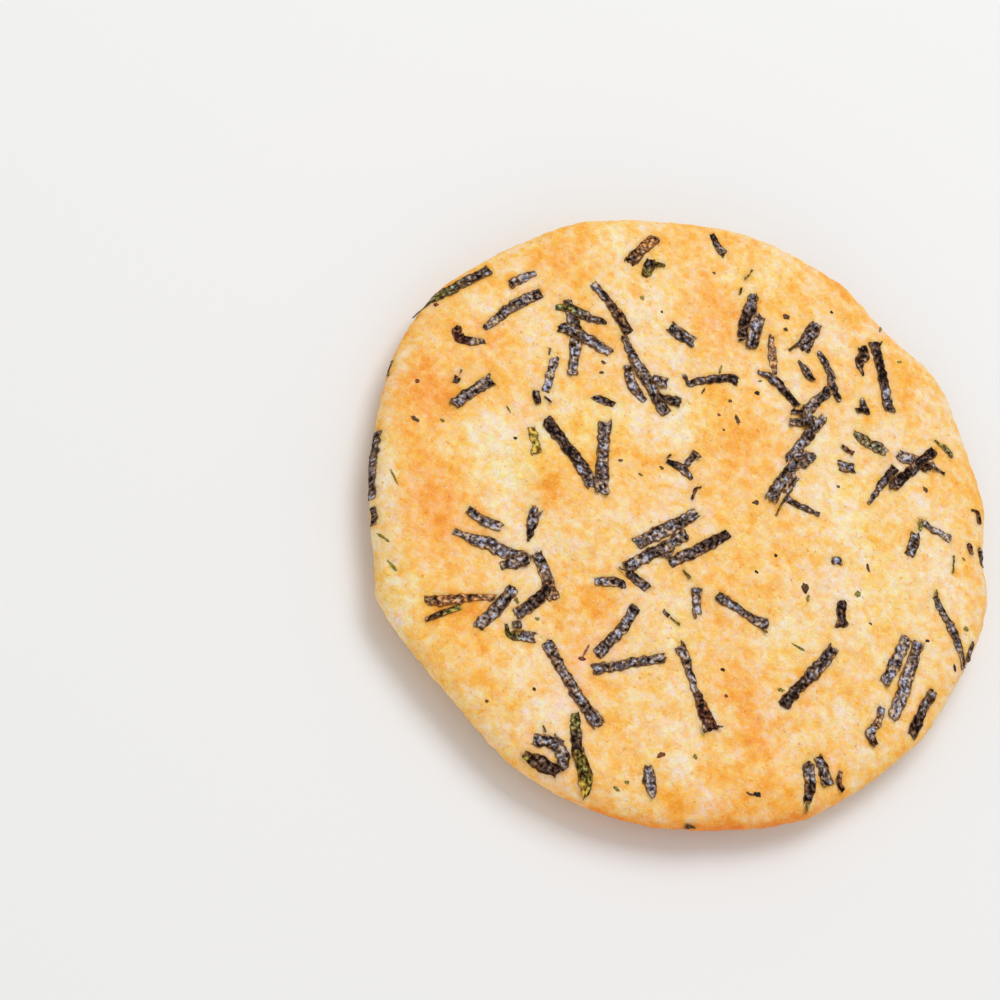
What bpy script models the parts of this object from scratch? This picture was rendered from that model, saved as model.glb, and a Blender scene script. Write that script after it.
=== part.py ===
"""A round puffed rice cracker, lying on its underside.

Metres, +Z up. The origin is on the surface the cracker lies on, under the middle of its outline.
The cracker is one baked piece: a turned disc with a rounded rim, then swollen and made uneven.
"""
import math

import bmesh
import bpy

NAME = "rice_cracker"

# Driving dimensions, in metres.
RADIUS = 0.0440  # radius of the outline before it bulges
MIDDLE_HEIGHT = 0.0089  # top of the crust over the middle
SHOULDER_HEIGHT = 0.0077  # top of the crust where the rim starts to turn down
RIM_DEPTH = 0.0058  # how far in from the outline the rim starts to turn down
RIM_LIFT = 0.0014  # how far the underside has risen there
FOOT_RADIUS = 0.0215  # the flat spot in the middle of the underside
FOOT_BLEND = 0.0060  # the ring over which the underside becomes uneven

# How finely the disc is turned.
STEPS = 90
CROWN_RINGS = 15
RIM_RINGS = 10
FOOT_RINGS = 2
UNDERSIDE_RINGS = 7
MERGE = 0.00001

# Where the outline bulges past its circle or falls short of it: direction and half width in degrees,
# then the growth in metres.
OUTLINE_BULGES = (
    (178.0, 15.0, 0.0010),
    (136.0, 9.0, -0.0006),
    (97.0, 4.0, 0.0005),
    (84.0, 6.0, -0.0008),
    (71.0, 8.0, 0.0015),
    (48.0, 6.0, 0.0006),
    (36.0, 4.0, -0.0006),
    (25.0, 9.0, 0.0006),
    (-33.0, 12.0, 0.0003),
    (-70.0, 14.0, 0.0005),
    (-98.0, 11.0, -0.0006),
    (-119.0, 6.0, 0.0013),
    (-142.0, 14.0, -0.0008),
)
RIPPLE = 0.00012
RIPPLE_LOBES = 13

# Slow swells across the top: depth in metres, crest spacing in metres, direction in degrees, shift in turns.
SWELLS = ((0.00030, 0.052, 25.0, 0.10), (0.00022, 0.037, 118.0, 0.35), (0.00012, 0.023, 70.0, 0.80))

# Blisters that puffed up in baking, set out on a sunflower spiral. Their size and height swing about a mean
# by a share of it, through an angle in radians that grows by a step from each blister to the next.
BLISTERS = 46
BLISTER_RADIUS = 0.0041
BLISTER_HEIGHT = 0.00034
GOLDEN_ANGLE = math.radians(137.508)
SIZE_SWING = 0.30
SIZE_STEP = 2.3
HEIGHT_SWING = 0.82
HEIGHT_STEP = 3.7
HEIGHT_START = 1.0

# The underside is lifted in lobes that twist outwards, in radians a metre, and the rim sags in wider ones.
UNDERSIDE_SWELL = 0.00032
UNDERSIDE_LOBES = 7
UNDERSIDE_TWIST = 140.0
RIM_SAG = 0.00045
RIM_SAG_LOBES = 3
RIM_SAG_START = 0.6

CRUST_COLOUR = (0.92, 0.60, 0.24, 1.0)
CRUST_ROUGHNESS = 0.62


def clear_scene():
    """Remove what a new file starts with."""
    for thing in list(bpy.data.objects):
        bpy.data.objects.remove(thing, do_unlink=True)


def smooth_step(value):
    """Rise smoothly from 0 to 1 as value goes from 0 to 1."""
    value = min(max(value, 0.0), 1.0)
    return value * value * (3.0 - 2.0 * value)


def crown(radius):
    """Height of the top of the turned disc."""
    drop = MIDDLE_HEIGHT - SHOULDER_HEIGHT
    return MIDDLE_HEIGHT - drop * (radius / (RADIUS - RIM_DEPTH)) ** 2


def underside(radius):
    """Height of the bottom of the turned disc, which is flat over the foot."""
    if radius <= FOOT_RADIUS:
        return 0.0
    reach = (radius - FOOT_RADIUS) / (RADIUS - RIM_DEPTH - FOOT_RADIUS)
    return RIM_LIFT * reach ** 2


def disc_profile():
    """Half section of the disc, from the middle of the top, round the rim, to the middle of the bottom."""
    shoulder = RADIUS - RIM_DEPTH
    top = [shoulder * ring / CROWN_RINGS for ring in range(CROWN_RINGS + 1)]
    points = [(radius, crown(radius)) for radius in top]

    half_height = (SHOULDER_HEIGHT - RIM_LIFT) / 2
    middle_height = (SHOULDER_HEIGHT + RIM_LIFT) / 2
    for ring in range(1, RIM_RINGS):
        turn = math.pi * ring / RIM_RINGS
        points.append((shoulder + RIM_DEPTH * math.sin(turn), middle_height + half_height * math.cos(turn)))

    for ring in range(UNDERSIDE_RINGS + 1):
        radius = shoulder + (FOOT_RADIUS - shoulder) * ring / UNDERSIDE_RINGS
        points.append((radius, underside(radius)))
    for ring in range(1, FOOT_RINGS + 1):
        points.append((FOOT_RADIUS * (1 - ring / FOOT_RINGS), 0.0))
    return points


def turned_disc():
    """The disc as a profile turned about Z, returned as a plain mesh."""
    points = disc_profile()
    edges = [(index, index + 1) for index in range(len(points) - 1)]
    profile = bpy.data.meshes.new("disc_profile")
    profile.from_pydata([(radius, 0.0, height) for radius, height in points], edges, [])

    blank = bpy.data.objects.new("disc_blank", profile)
    bpy.context.scene.collection.objects.link(blank)
    screw = blank.modifiers.new("turn", "SCREW")
    screw.axis = "Z"
    screw.angle = 2 * math.pi
    screw.steps = STEPS
    screw.render_steps = STEPS
    screw.use_merge_vertices = True
    screw.merge_threshold = MERGE

    mesh = bpy.data.meshes.new_from_object(blank.evaluated_get(bpy.context.evaluated_depsgraph_get()))
    bpy.data.objects.remove(blank, do_unlink=True)
    bpy.data.meshes.remove(profile)
    return mesh


def outline_growth(angle):
    """How far the outline stands outside its mean circle in one direction."""
    growth = RIPPLE * math.cos(RIPPLE_LOBES * angle)
    for direction, half_width, bulge in OUTLINE_BULGES:
        turn = math.degrees(angle) - direction
        turn = (turn + 180.0) % 360.0 - 180.0
        growth += bulge * math.exp(-(turn / half_width) ** 2)
    return growth


def blister_places():
    """Centre, radius and height of each blister. No two neighbours are the same size."""
    places = []
    for index in range(BLISTERS):
        radius = (RADIUS - RIM_DEPTH / 2) * math.sqrt((index + 0.5) / BLISTERS)
        angle = index * GOLDEN_ANGLE
        size = 1.0 + SIZE_SWING * math.sin(SIZE_STEP * index)
        strength = 1.0 + HEIGHT_SWING * math.sin(HEIGHT_STEP * index + HEIGHT_START)
        places.append((
            radius * math.cos(angle),
            radius * math.sin(angle),
            BLISTER_RADIUS * size,
            BLISTER_HEIGHT * strength,
        ))
    return places


def top_relief(x, y, blisters):
    """Height added to the top by the slow swells and the blisters."""
    relief = 0.0
    for depth, spacing, direction, shift in SWELLS:
        along = x * math.cos(math.radians(direction)) + y * math.sin(math.radians(direction))
        relief += depth * math.sin(2 * math.pi * (along / spacing + shift))
    for centre_x, centre_y, radius, height in blisters:
        distance = math.hypot(x - centre_x, y - centre_y) / radius
        if distance < 1.0:
            relief += height * (1.0 - distance ** 2) ** 2
    return relief


def underside_relief(radius, angle):
    """Height added to the bottom outside the foot, never below the surface it lies on."""
    blend = smooth_step((radius - FOOT_RADIUS) / FOOT_BLEND)
    lobes = math.cos(UNDERSIDE_LOBES * angle + UNDERSIDE_TWIST * radius)
    return UNDERSIDE_SWELL * blend * (1.0 + lobes)


def bake(mesh):
    """Swell the turned disc into an uneven, puffed cracker."""
    blisters = blister_places()
    rim_middle = (SHOULDER_HEIGHT + RIM_LIFT) / 2
    for vertex in mesh.vertices:
        x, y, z = vertex.co
        radius = math.hypot(x, y)
        angle = math.atan2(y, x)
        upper = smooth_step((z - RIM_LIFT) / (SHOULDER_HEIGHT - RIM_LIFT))
        near_rim = smooth_step((radius - FOOT_RADIUS) / (RADIUS - FOOT_RADIUS))

        lift = upper * top_relief(x, y, blisters)
        lift += (1.0 - upper) * underside_relief(radius, angle)
        if z > rim_middle or radius > RADIUS - RIM_DEPTH:
            sag = math.sin(RIM_SAG_LOBES * angle + RIM_SAG_START)
            lift += RIM_SAG * sag * near_rim * smooth_step(z / rim_middle)

        stretch = 1.0 + outline_growth(angle) * near_rim / RADIUS
        vertex.co = (x * stretch, y * stretch, z + lift)


def centre_outline(mesh):
    """Put the middle of the outline over the origin."""
    across = [vertex.co.x for vertex in mesh.vertices]
    along = [vertex.co.y for vertex in mesh.vertices]
    middle_x = (min(across) + max(across)) / 2
    middle_y = (min(along) + max(along)) / 2
    for vertex in mesh.vertices:
        vertex.co.x -= middle_x
        vertex.co.y -= middle_y


def close_and_split(mesh):
    """Weld the poles and the turning seam, and split the warped faces into triangles."""
    work = bmesh.new()
    work.from_mesh(mesh)
    bmesh.ops.remove_doubles(work, verts=work.verts, dist=MERGE)
    bmesh.ops.triangulate(work, faces=work.faces)
    bmesh.ops.recalc_face_normals(work, faces=work.faces)
    work.to_mesh(mesh)
    work.free()


def crust_material():
    """Golden baked rice crust."""
    material = bpy.data.materials.new("baked_crust")
    material.use_nodes = True
    shader = material.node_tree.nodes["Principled BSDF"]
    shader.inputs["Base Color"].default_value = CRUST_COLOUR
    shader.inputs["Roughness"].default_value = CRUST_ROUGHNESS
    shader.inputs["Metallic"].default_value = 0.0
    return material


def make_cracker():
    """The one piece, in a collection named for it."""
    mesh = turned_disc()
    bake(mesh)
    centre_outline(mesh)
    close_and_split(mesh)
    mesh.shade_smooth()
    mesh.materials.clear()
    mesh.materials.append(crust_material())
    mesh.name = NAME

    cracker = bpy.data.objects.new(NAME, mesh)
    collection = bpy.data.collections.new("cracker")
    bpy.context.scene.collection.children.link(collection)
    collection.objects.link(cracker)
    return cracker


clear_scene()
make_cracker()
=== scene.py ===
"""The looks of a seaweed rice cracker: its baked crust, and the shreds and flecks of dried seaweed on it.

The cracker lies on its underside with the strewn side up. Plain numbers for places on it, sizes and noise
are in millimetres, over the middle of its outline, +Y away from the viewer, and directions are in degrees.
Lengths times MM, the frame's own, and those of the stage are in metres.
"""
import math
import random

import bpy
import numpy as np
from mathutils import Matrix, Vector, noise
from mathutils.bvhtree import BVHTree
from mathutils.kdtree import KDTree


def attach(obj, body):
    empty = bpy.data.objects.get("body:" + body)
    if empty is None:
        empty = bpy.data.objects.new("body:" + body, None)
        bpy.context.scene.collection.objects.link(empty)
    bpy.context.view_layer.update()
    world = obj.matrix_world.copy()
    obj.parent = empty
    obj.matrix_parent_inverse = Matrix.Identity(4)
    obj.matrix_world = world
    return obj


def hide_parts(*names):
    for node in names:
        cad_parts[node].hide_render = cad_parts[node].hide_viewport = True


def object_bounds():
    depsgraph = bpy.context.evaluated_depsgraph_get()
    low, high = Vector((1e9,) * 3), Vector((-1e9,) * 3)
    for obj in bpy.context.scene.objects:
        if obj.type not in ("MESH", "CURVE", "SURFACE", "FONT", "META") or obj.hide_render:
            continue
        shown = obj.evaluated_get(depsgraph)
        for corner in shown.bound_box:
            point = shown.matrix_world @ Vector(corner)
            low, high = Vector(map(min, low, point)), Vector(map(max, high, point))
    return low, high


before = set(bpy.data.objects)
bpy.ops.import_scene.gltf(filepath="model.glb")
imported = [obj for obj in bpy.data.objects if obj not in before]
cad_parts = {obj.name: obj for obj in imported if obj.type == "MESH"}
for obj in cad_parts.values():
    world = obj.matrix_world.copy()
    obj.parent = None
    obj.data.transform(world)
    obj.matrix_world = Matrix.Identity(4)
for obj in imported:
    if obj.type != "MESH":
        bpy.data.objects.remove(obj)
cad_low, cad_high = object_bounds()

MM = 0.001
NODE = "rice_cracker"
MIDDLE = (cad_low + cad_high) / 2
RADIUS = (cad_high.x - cad_low.x) / 2
RADIUS_MM = RADIUS / MM
HEIGHT = cad_high.z - cad_low.z
RIM_WIDTH = 0.13 * RADIUS
RIM_MIDDLE = 0.47 * HEIGHT

# A band is where something sets in or fades out, from its start to its end. A layer of noise is its
# strength, the size of its lumps and a shift that makes it differ from the others. In millimetres.

# The crust's mesh and relief.
CRUST_WELD = 0.02 * MM
CRUST_VOXEL = 0.43 * MM
CRUST_SMOOTHING = 3
GRAINS = ((0.20, 4.6, 11.0), (0.18, 2.1, 37.0), (0.19, 1.1, 71.0))
PUFF_CELL = 2.4
PUFF_HEIGHT = 0.14
RIM_SMOOTHER = 0.35
RIM_SMOOTHER_BAND = (34.0, 41.0)

# Where the outline is flatter than the plain cracker's: direction and half width, then depth.
DENTS = ((167.0, 9.0, 0.8),)
DENT_BAND = (30.0, 43.0)

# How browned the crust is: 0 is golden, below it is paler and above it more toasted. Each patch is its place,
# its two half widths, the direction of the first, and its strength.
TOASTED = (
    (-37.0, 16.5, 4.0, 6.5, 20, 0.26), (-36.8, 14.0, 1.8, 2.2, 0, 0.14), (-31.0, 15.3, 1.7, 1.3, 0, 0.16),
    (-40.5, 6.5, 3.2, 1.7, 20, 0.14), (-42.8, -1.0, 1.9, 3.4, 0, 0.18), (-25.8, 10.0, 3.2, 2.0, 10, 0.20),
    (-35.2, -0.6, 1.5, 1.9, 0, 0.26), (-32.0, -3.6, 1.9, 1.4, -30, 0.24), (-38.0, -6.5, 4.5, 4.0, 0, 0.14),
    (-35.0, -13.2, 5.0, 5.2, 0, 0.34), (-38.0, -11.6, 2.0, 1.7, -30, 0.28),
    (-33.0, -12.8, 1.7, 2.2, 0, 0.14),
    (-29.0, -6.6, 3.2, 2.2, 0, 0.14), (-37.5, -19.5, 3.5, 4.0, 0, 0.14),
    (-26.5, -23.0, 6.4, 4.6, -45, 0.32),
    (-23.0, -26.5, 2.0, 1.9, 0, 0.24), (-22.6, -30.6, 3.6, 3.2, 0, 0.20), (-20.5, -34.8, 3.2, 1.8, 0, 0.12),
    (-12.2, -33.1, 1.5, 1.3, 0, 0.30), (-11.2, -35.6, 4.6, 2.6, 10, 0.26),
    (-15.0, -38.0, 2.0, 2.6, 0, 0.22),
    (-4.1, -39.2, 1.5, 1.2, 0, 0.46), (1.3, -39.1, 1.0, 0.9, 0, 0.24), (2.6, -35.8, 0.8, 0.8, 0, 0.24),
    (-16.2, -11.2, 3.6, 2.4, -25, 0.46), (-12.4, -3.0, 1.8, 4.4, 0, 0.16), (-7.2, 1.3, 2.8, 1.4, 40, 0.22),
    (-4.4, 4.0, 1.1, 1.4, 0, 0.16), (-4.6, 15.4, 5.4, 2.8, -15, 0.24), (-1.2, 12.6, 2.6, 3.2, 0, 0.28),
    (1.0, 9.4, 5.0, 3.2, 0, 0.12), (-14.0, 25.2, 3.2, 4.0, 0, 0.30), (-18.2, 27.4, 3.4, 2.2, 0, 0.20),
    (-13.6, 19.6, 2.8, 2.0, 0, 0.10), (-26.6, 27.6, 1.8, 5.0, -10, 0.20), (-23.6, 33.4, 4.0, 1.8, 20, 0.18),
    (-19.5, 37.4, 4.4, 2.0, 15, 0.14), (-10.0, 35.6, 1.6, 1.6, 0, 0.14), (-7.0, 32.0, 3.0, 1.3, 30, 0.12),
    (-4.2, 43.0, 3.6, 1.8, 0, 0.44), (-0.6, 39.4, 1.8, 1.8, 0, 0.22), (9.6, 38.2, 3.6, 2.2, -20, 0.28),
    (12.2, 35.6, 1.8, 2.4, 0, 0.22), (12.0, 40.6, 2.6, 1.4, 0, 0.26), (10.2, 29.0, 1.3, 1.6, 0, 0.12),
    (21.8, 32.0, 1.7, 1.5, 0, 0.16), (25.0, 28.0, 1.7, 2.2, 0, 0.16), (29.2, 31.8, 3.0, 1.4, -40, 0.22),
    (15.6, 32.4, 1.2, 1.0, 0, 0.16), (35.0, 23.4, 2.6, 2.2, 0, 0.10), (17.4, 20.0, 1.9, 2.3, 0, 0.12),
    (22.4, 20.4, 1.8, 1.2, 0, 0.12), (23.4, 16.8, 2.6, 1.8, 0, 0.10), (13.6, 6.8, 2.2, 1.6, 0, 0.18),
    (14.8, 2.8, 1.4, 1.6, 0, 0.22), (8.0, 4.6, 2.4, 3.0, 0, 0.14), (11.5, -1.6, 5.6, 4.6, 0, 0.13),
    (36.6, 0.4, 2.4, 1.0, 0, 0.12), (42.0, 3.0, 1.5, 2.0, 0, 0.20), (41.6, -5.4, 2.6, 2.2, 0, 0.20),
    (28.0, -3.6, 1.0, 1.8, 0, 0.22), (32.2, -3.8, 1.2, 1.8, -20, 0.20), (26.4, -7.8, 3.0, 1.3, 0, 0.15),
    (28.2, -9.6, 1.4, 1.4, 0, 0.28), (35.3, -13.0, 1.2, 1.6, 0, 0.26), (41.0, -14.0, 1.8, 3.2, -20, 0.18),
    (19.8, -13.8, 2.2, 2.0, 0, 0.20), (22.4, -15.9, 3.0, 1.6, -15, 0.26),
    (25.4, -18.8, 2.6, 1.7, -30, 0.34),
    (28.6, -20.6, 2.4, 1.6, -20, 0.22), (18.0, -18.6, 1.4, 2.0, 0, 0.14), (33.6, -22.8, 4.4, 1.8, 10, 0.42),
    (31.2, -25.6, 1.8, 2.0, 0, 0.28), (31.4, -29.8, 1.8, 2.6, -40, 0.42), (26.4, -27.0, 1.7, 2.0, 0, 0.20),
    (24.2, -33.6, 2.6, 1.4, 10, 0.46), (19.0, -36.4, 1.8, 1.6, 0, 0.20), (12.2, -31.6, 2.4, 1.2, 0, 0.18),
    (9.4, -28.8, 2.0, 1.7, 0, 0.18), (5.6, -27.2, 1.2, 2.6, 20, 0.20), (-0.2, -20.0, 2.2, 2.8, 0, 0.34),
    (-1.0, -25.6, 2.4, 2.4, 0, 0.14), (-6.0, -12.4, 3.0, 3.4, 0, 0.06), (11.0, -39.8, 2.2, 1.0, 20, 0.14),
    (-20.0, 29.0, 3.0, 4.0, 0, 0.22), (-26.0, 30.0, 2.0, 2.5, 0, 0.11), (-15.0, 23.0, 3.0, 2.5, 0, 0.15),
    (-11.0, 18.5, 4.0, 2.0, 0, 0.15), (-8.0, 22.0, 2.0, 2.2, 0, 0.19), (-8.0, 30.5, 2.5, 2.0, 0, 0.22),
    (-4.0, 28.5, 1.8, 1.8, 0, 0.19), (-1.0, 20.0, 4.0, 2.0, 0, 0.11), (-5.0, 16.5, 2.5, 1.5, 0, 0.09),
    (-35.0, 19.0, 4.0, 2.0, 0, 0.22), (-29.0, 14.0, 3.0, 1.6, -25, 0.19), (-32.0, 11.0, 1.8, 2.0, 0, 0.11),
    (-40.0, 7.5, 2.0, 1.6, 0, 0.11), (-43.0, 3.0, 2.5, 3.0, 0, 0.38), (-33.0, -2.0, 3.0, 1.5, -25, 0.19),
    (-18.0, 1.5, 1.8, 1.8, 0, 0.15), (-5.0, -1.0, 2.5, 4.0, 20, 0.22), (-5.0, 4.0, 2.0, 1.6, 0, 0.09),
    (-10.0, 6.0, 2.0, 2.0, 0, 0.08), (3.0, 6.5, 3.0, 1.8, 0, 0.15), (14.0, 6.0, 2.0, 2.5, 0, 0.19),
    (19.0, 5.5, 2.0, 2.2, 0, 0.15), (27.0, 3.5, 2.0, 2.0, 0, 0.38), (37.0, 0.0, 1.3, 2.5, 20, 0.26),
    (7.5, -7.5, 3.0, 3.5, 40, 0.30), (-13.0, -8.0, 2.5, 2.0, 0, 0.19), (-15.0, -4.0, 2.0, 2.0, 0, 0.11),
    (-12.0, -13.0, 2.0, 2.0, 0, 0.09), (18.0, -18.0, 2.5, 2.5, 0, 0.22), (24.0, -16.0, 2.3, 3.0, 0, 0.22),
    (17.0, -13.0, 2.0, 2.0, 0, 0.11), (32.0, -22.0, 3.0, 2.2, 0, 0.15), (26.0, -23.0, 1.5, 1.5, 0, 0.11),
    (39.0, -17.5, 2.5, 1.6, 20, 0.30), (22.0, -38.0, 5.0, 2.0, 30, 0.22), (17.5, -40.0, 2.0, 1.5, 0, 0.22),
    (2.5, -22.0, 1.7, 3.2, 20, 0.38), (-18.0, -28.0, 6.0, 2.5, -40, 0.19),
    (-14.0, -31.5, 2.2, 2.2, 0, 0.19),
    (-18.0, -35.0, 1.6, 3.0, 0, 0.15), (-8.0, -39.0, 4.0, 2.0, 0, 0.22), (-4.0, -33.0, 1.6, 2.0, 0, 0.11),
    (-8.0, -31.0, 1.8, 1.8, 0, 0.11), (-29.0, -23.0, 1.8, 2.4, 0, 0.19), (13.0, -33.0, 2.0, 3.0, 0, 0.19),
    (6.5, -34.0, 2.0, 1.5, 0, 0.11), (18.0, 22.0, 3.0, 2.5, 0, 0.15), (14.5, 28.5, 1.8, 2.0, 0, 0.15),
    (28.0, 30.5, 5.0, 2.0, -25, 0.19), (26.0, 27.0, 2.0, 2.0, 0, 0.11), (38.0, 18.5, 1.6, 2.2, 0, 0.19),
    (35.0, 25.0, 1.8, 1.5, 0, 0.09), (24.5, 34.0, 2.0, 1.5, 0, 0.09), (-1.0, 34.0, 2.5, 1.5, 0, 0.15),
    (-19.0, 37.0, 1.2, 2.0, 0, 0.11), (-26.0, 26.0, 1.2, 2.0, 0, 0.11),
)
PALE = (
    (-24.4, -11.6, 4.0, 4.8, 20, 0.42), (-20.6, -15.6, 3.0, 1.6, -40, 0.20),
    (-12.8, -21.0, 2.8, 2.9, 0, 0.42),
    (-17.4, -19.6, 3.0, 2.4, -30, 0.22), (-8.4, -23.0, 2.4, 2.2, 0, 0.20),
    (-23.2, 17.0, 3.8, 1.8, 10, 0.32),
    (-15.6, 14.0, 3.8, 2.8, 0, 0.42), (-12.6, 9.6, 1.8, 2.2, 0, 0.34), (-12.0, 5.6, 2.2, 2.4, 0, 0.28),
    (-7.4, 8.0, 2.4, 2.4, 0, 0.32), (-22.6, 22.8, 1.9, 1.9, 0, 0.34), (-28.6, 24.2, 2.8, 1.6, 20, 0.30),
    (-36.2, 8.8, 1.2, 2.4, 0, 0.28), (-38.0, 2.4, 2.2, 2.0, 0, 0.30), (-31.4, 5.4, 2.0, 1.6, 0, 0.28),
    (-28.4, 2.4, 2.4, 1.8, 0, 0.14), (-22.6, -1.4, 1.7, 1.5, 0, 0.30), (-19.4, -6.8, 1.5, 1.2, 0, 0.20),
    (-13.4, 36.2, 1.4, 3.2, -10, 0.22), (-14.0, 41.2, 3.4, 1.0, 10, 0.24), (-1.4, 34.4, 2.8, 3.4, 0, 0.28),
    (0.2, 24.4, 4.2, 1.5, 0, 0.30), (-4.6, 21.4, 2.0, 1.4, 0, 0.14), (7.2, 20.4, 2.0, 2.4, 0, 0.42),
    (11.0, 23.2, 2.8, 3.0, 0, 0.24), (12.4, 13.2, 2.0, 2.4, 0, 0.46), (11.4, 18.0, 3.0, 2.0, 0, 0.24),
    (17.0, 14.2, 1.7, 2.7, 0, 0.48), (17.4, 28.0, 3.4, 2.2, 0, 0.42), (13.4, 31.2, 1.5, 1.3, 0, 0.30),
    (24.6, 24.2, 3.8, 1.4, -10, 0.38), (30.2, 19.8, 1.6, 3.2, 20, 0.34), (34.4, 16.8, 3.2, 1.8, -20, 0.44),
    (28.8, 14.4, 1.8, 2.4, 0, 0.28), (20.2, 35.8, 2.0, 1.4, 0, 0.24), (15.4, 38.8, 2.4, 1.2, 0, 0.26),
    (22.6, 6.6, 3.4, 2.0, -35, 0.50), (21.8, -2.4, 2.6, 1.6, 0, 0.34), (25.4, 1.4, 3.2, 1.8, 0, 0.16),
    (18.8, 1.4, 1.3, 1.6, 0, 0.22), (33.8, -7.6, 1.5, 1.8, 0, 0.36), (38.4, -2.6, 1.6, 2.4, 0, 0.20),
    (38.4, 8.2, 3.0, 1.2, 30, 0.24), (35.0, 8.0, 1.2, 2.2, 0, 0.20), (-3.4, 1.6, 1.8, 1.6, 0, 0.28),
    (-1.0, -7.0, 2.6, 3.2, 0, 0.32), (1.2, -1.4, 1.8, 2.6, 0, 0.22), (5.4, -4.0, 1.8, 2.2, 0, 0.22),
    (1.6, -12.8, 1.8, 2.4, 0, 0.28), (6.8, -12.4, 3.0, 1.3, 15, 0.28), (5.0, -17.0, 1.3, 1.4, 0, 0.42),
    (9.6, -17.6, 2.0, 1.6, 0, 0.24), (13.8, -21.0, 3.6, 1.2, 0, 0.26), (7.6, -23.4, 4.0, 1.4, 10, 0.28),
    (16.8, -26.4, 2.0, 1.8, 0, 0.30), (21.2, -29.4, 2.2, 1.3, 20, 0.38), (4.6, -33.0, 1.5, 1.6, 0, 0.38),
    (6.2, -36.4, 2.8, 2.8, 0, 0.34), (-0.9, -33.6, 0.8, 3.6, 5, 0.30), (-10.8, -28.6, 1.4, 1.3, 0, 0.24),
    (-33.4, -26.6, 1.6, 4.4, 40, 0.24), (20.0, -38.0, 2.6, 1.2, 40, 0.38), (26.0, 16.0, 9.0, 9.0, 0, 0.06),
    (-33.0, 30.0, 2.0, 3.0, -40, 0.22), (-14.0, 33.0, 2.5, 2.5, -30, 0.22), (-6.0, 39.0, 2.0, 2.0, 0, 0.19),
    (-25.0, 20.0, 2.5, 3.0, 0, 0.15), (-40.0, 13.0, 1.8, 1.8, 0, 0.11), (-41.0, -13.0, 2.4, 3.5, 0, 0.22),
    (-36.0, -24.0, 2.4, 5.0, 30, 0.45), (-31.0, -28.5, 2.5, 2.5, 0, 0.30),
    (-25.0, -34.0, 3.0, 2.0, -30, 0.26),
    (-17.0, -40.0, 3.0, 1.5, -20, 0.22), (-39.0, -1.5, 1.6, 1.8, 0, 0.11), (-27.0, 3.0, 2.0, 1.5, 0, 0.11),
    (-29.0, -4.0, 1.8, 1.5, 0, 0.11), (-9.5, -4.0, 1.8, 1.8, 0, 0.19), (-4.0, -10.5, 3.5, 1.5, 20, 0.19),
    (-20.5, -10.0, 1.4, 2.5, 0, 0.30), (-18.0, -6.0, 1.5, 1.5, 0, 0.15), (-10.5, -17.5, 3.5, 2.3, 0, 0.30),
    (-26.0, -19.0, 2.0, 1.6, 0, 0.11), (-7.0, 9.0, 3.0, 1.8, -30, 0.15), (6.5, 12.0, 2.0, 2.2, 0, 0.26),
    (6.0, 17.0, 1.5, 2.5, 0, 0.19), (14.0, 12.5, 3.5, 1.5, 0, 0.19), (26.0, 12.0, 3.0, 1.6, 30, 0.15),
    (5.0, 0.5, 3.0, 1.6, 0, 0.19), (20.0, -2.5, 4.0, 2.0, 0, 0.15), (23.0, -5.5, 2.0, 2.0, 0, 0.15),
    (13.5, -9.0, 1.6, 1.6, 0, 0.22), (11.5, -13.5, 2.5, 2.0, 0, 0.19), (5.5, -17.0, 1.8, 2.0, 0, 0.19),
    (28.0, -13.0, 1.4, 3.0, 0, 0.22), (32.0, -9.0, 1.4, 1.6, 0, 0.15), (42.0, -7.0, 1.4, 2.0, 0, 0.15),
    (40.0, -1.0, 2.5, 1.2, 0, 0.11), (8.5, -26.0, 3.5, 1.8, 30, 0.22), (1.8, -32.5, 1.8, 4.0, 0, 0.26),
    (-1.0, -38.0, 1.5, 2.0, 0, 0.22), (21.0, -31.5, 2.0, 1.5, 0, 0.19), (24.0, -27.0, 2.0, 1.5, 0, 0.09),
    (35.0, -16.0, 2.0, 1.5, 0, 0.11), (5.5, -40.0, 1.6, 1.3, 0, 0.11), (18.5, 32.0, 2.4, 2.0, 0, 0.15),
    (21.0, 28.5, 1.5, 1.6, 0, 0.22), (26.0, 23.0, 1.6, 2.4, -20, 0.19), (34.0, 27.0, 2.2, 1.6, -40, 0.22),
    (18.0, 39.0, 2.4, 1.6, 0, 0.15), (3.0, 41.0, 4.0, 2.0, 0, 0.08), (-7.0, 26.0, 1.5, 1.0, 0, 0.08),
    (42.0, 13.0, 3.0, 1.2, -15, 0.15),
)
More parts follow.
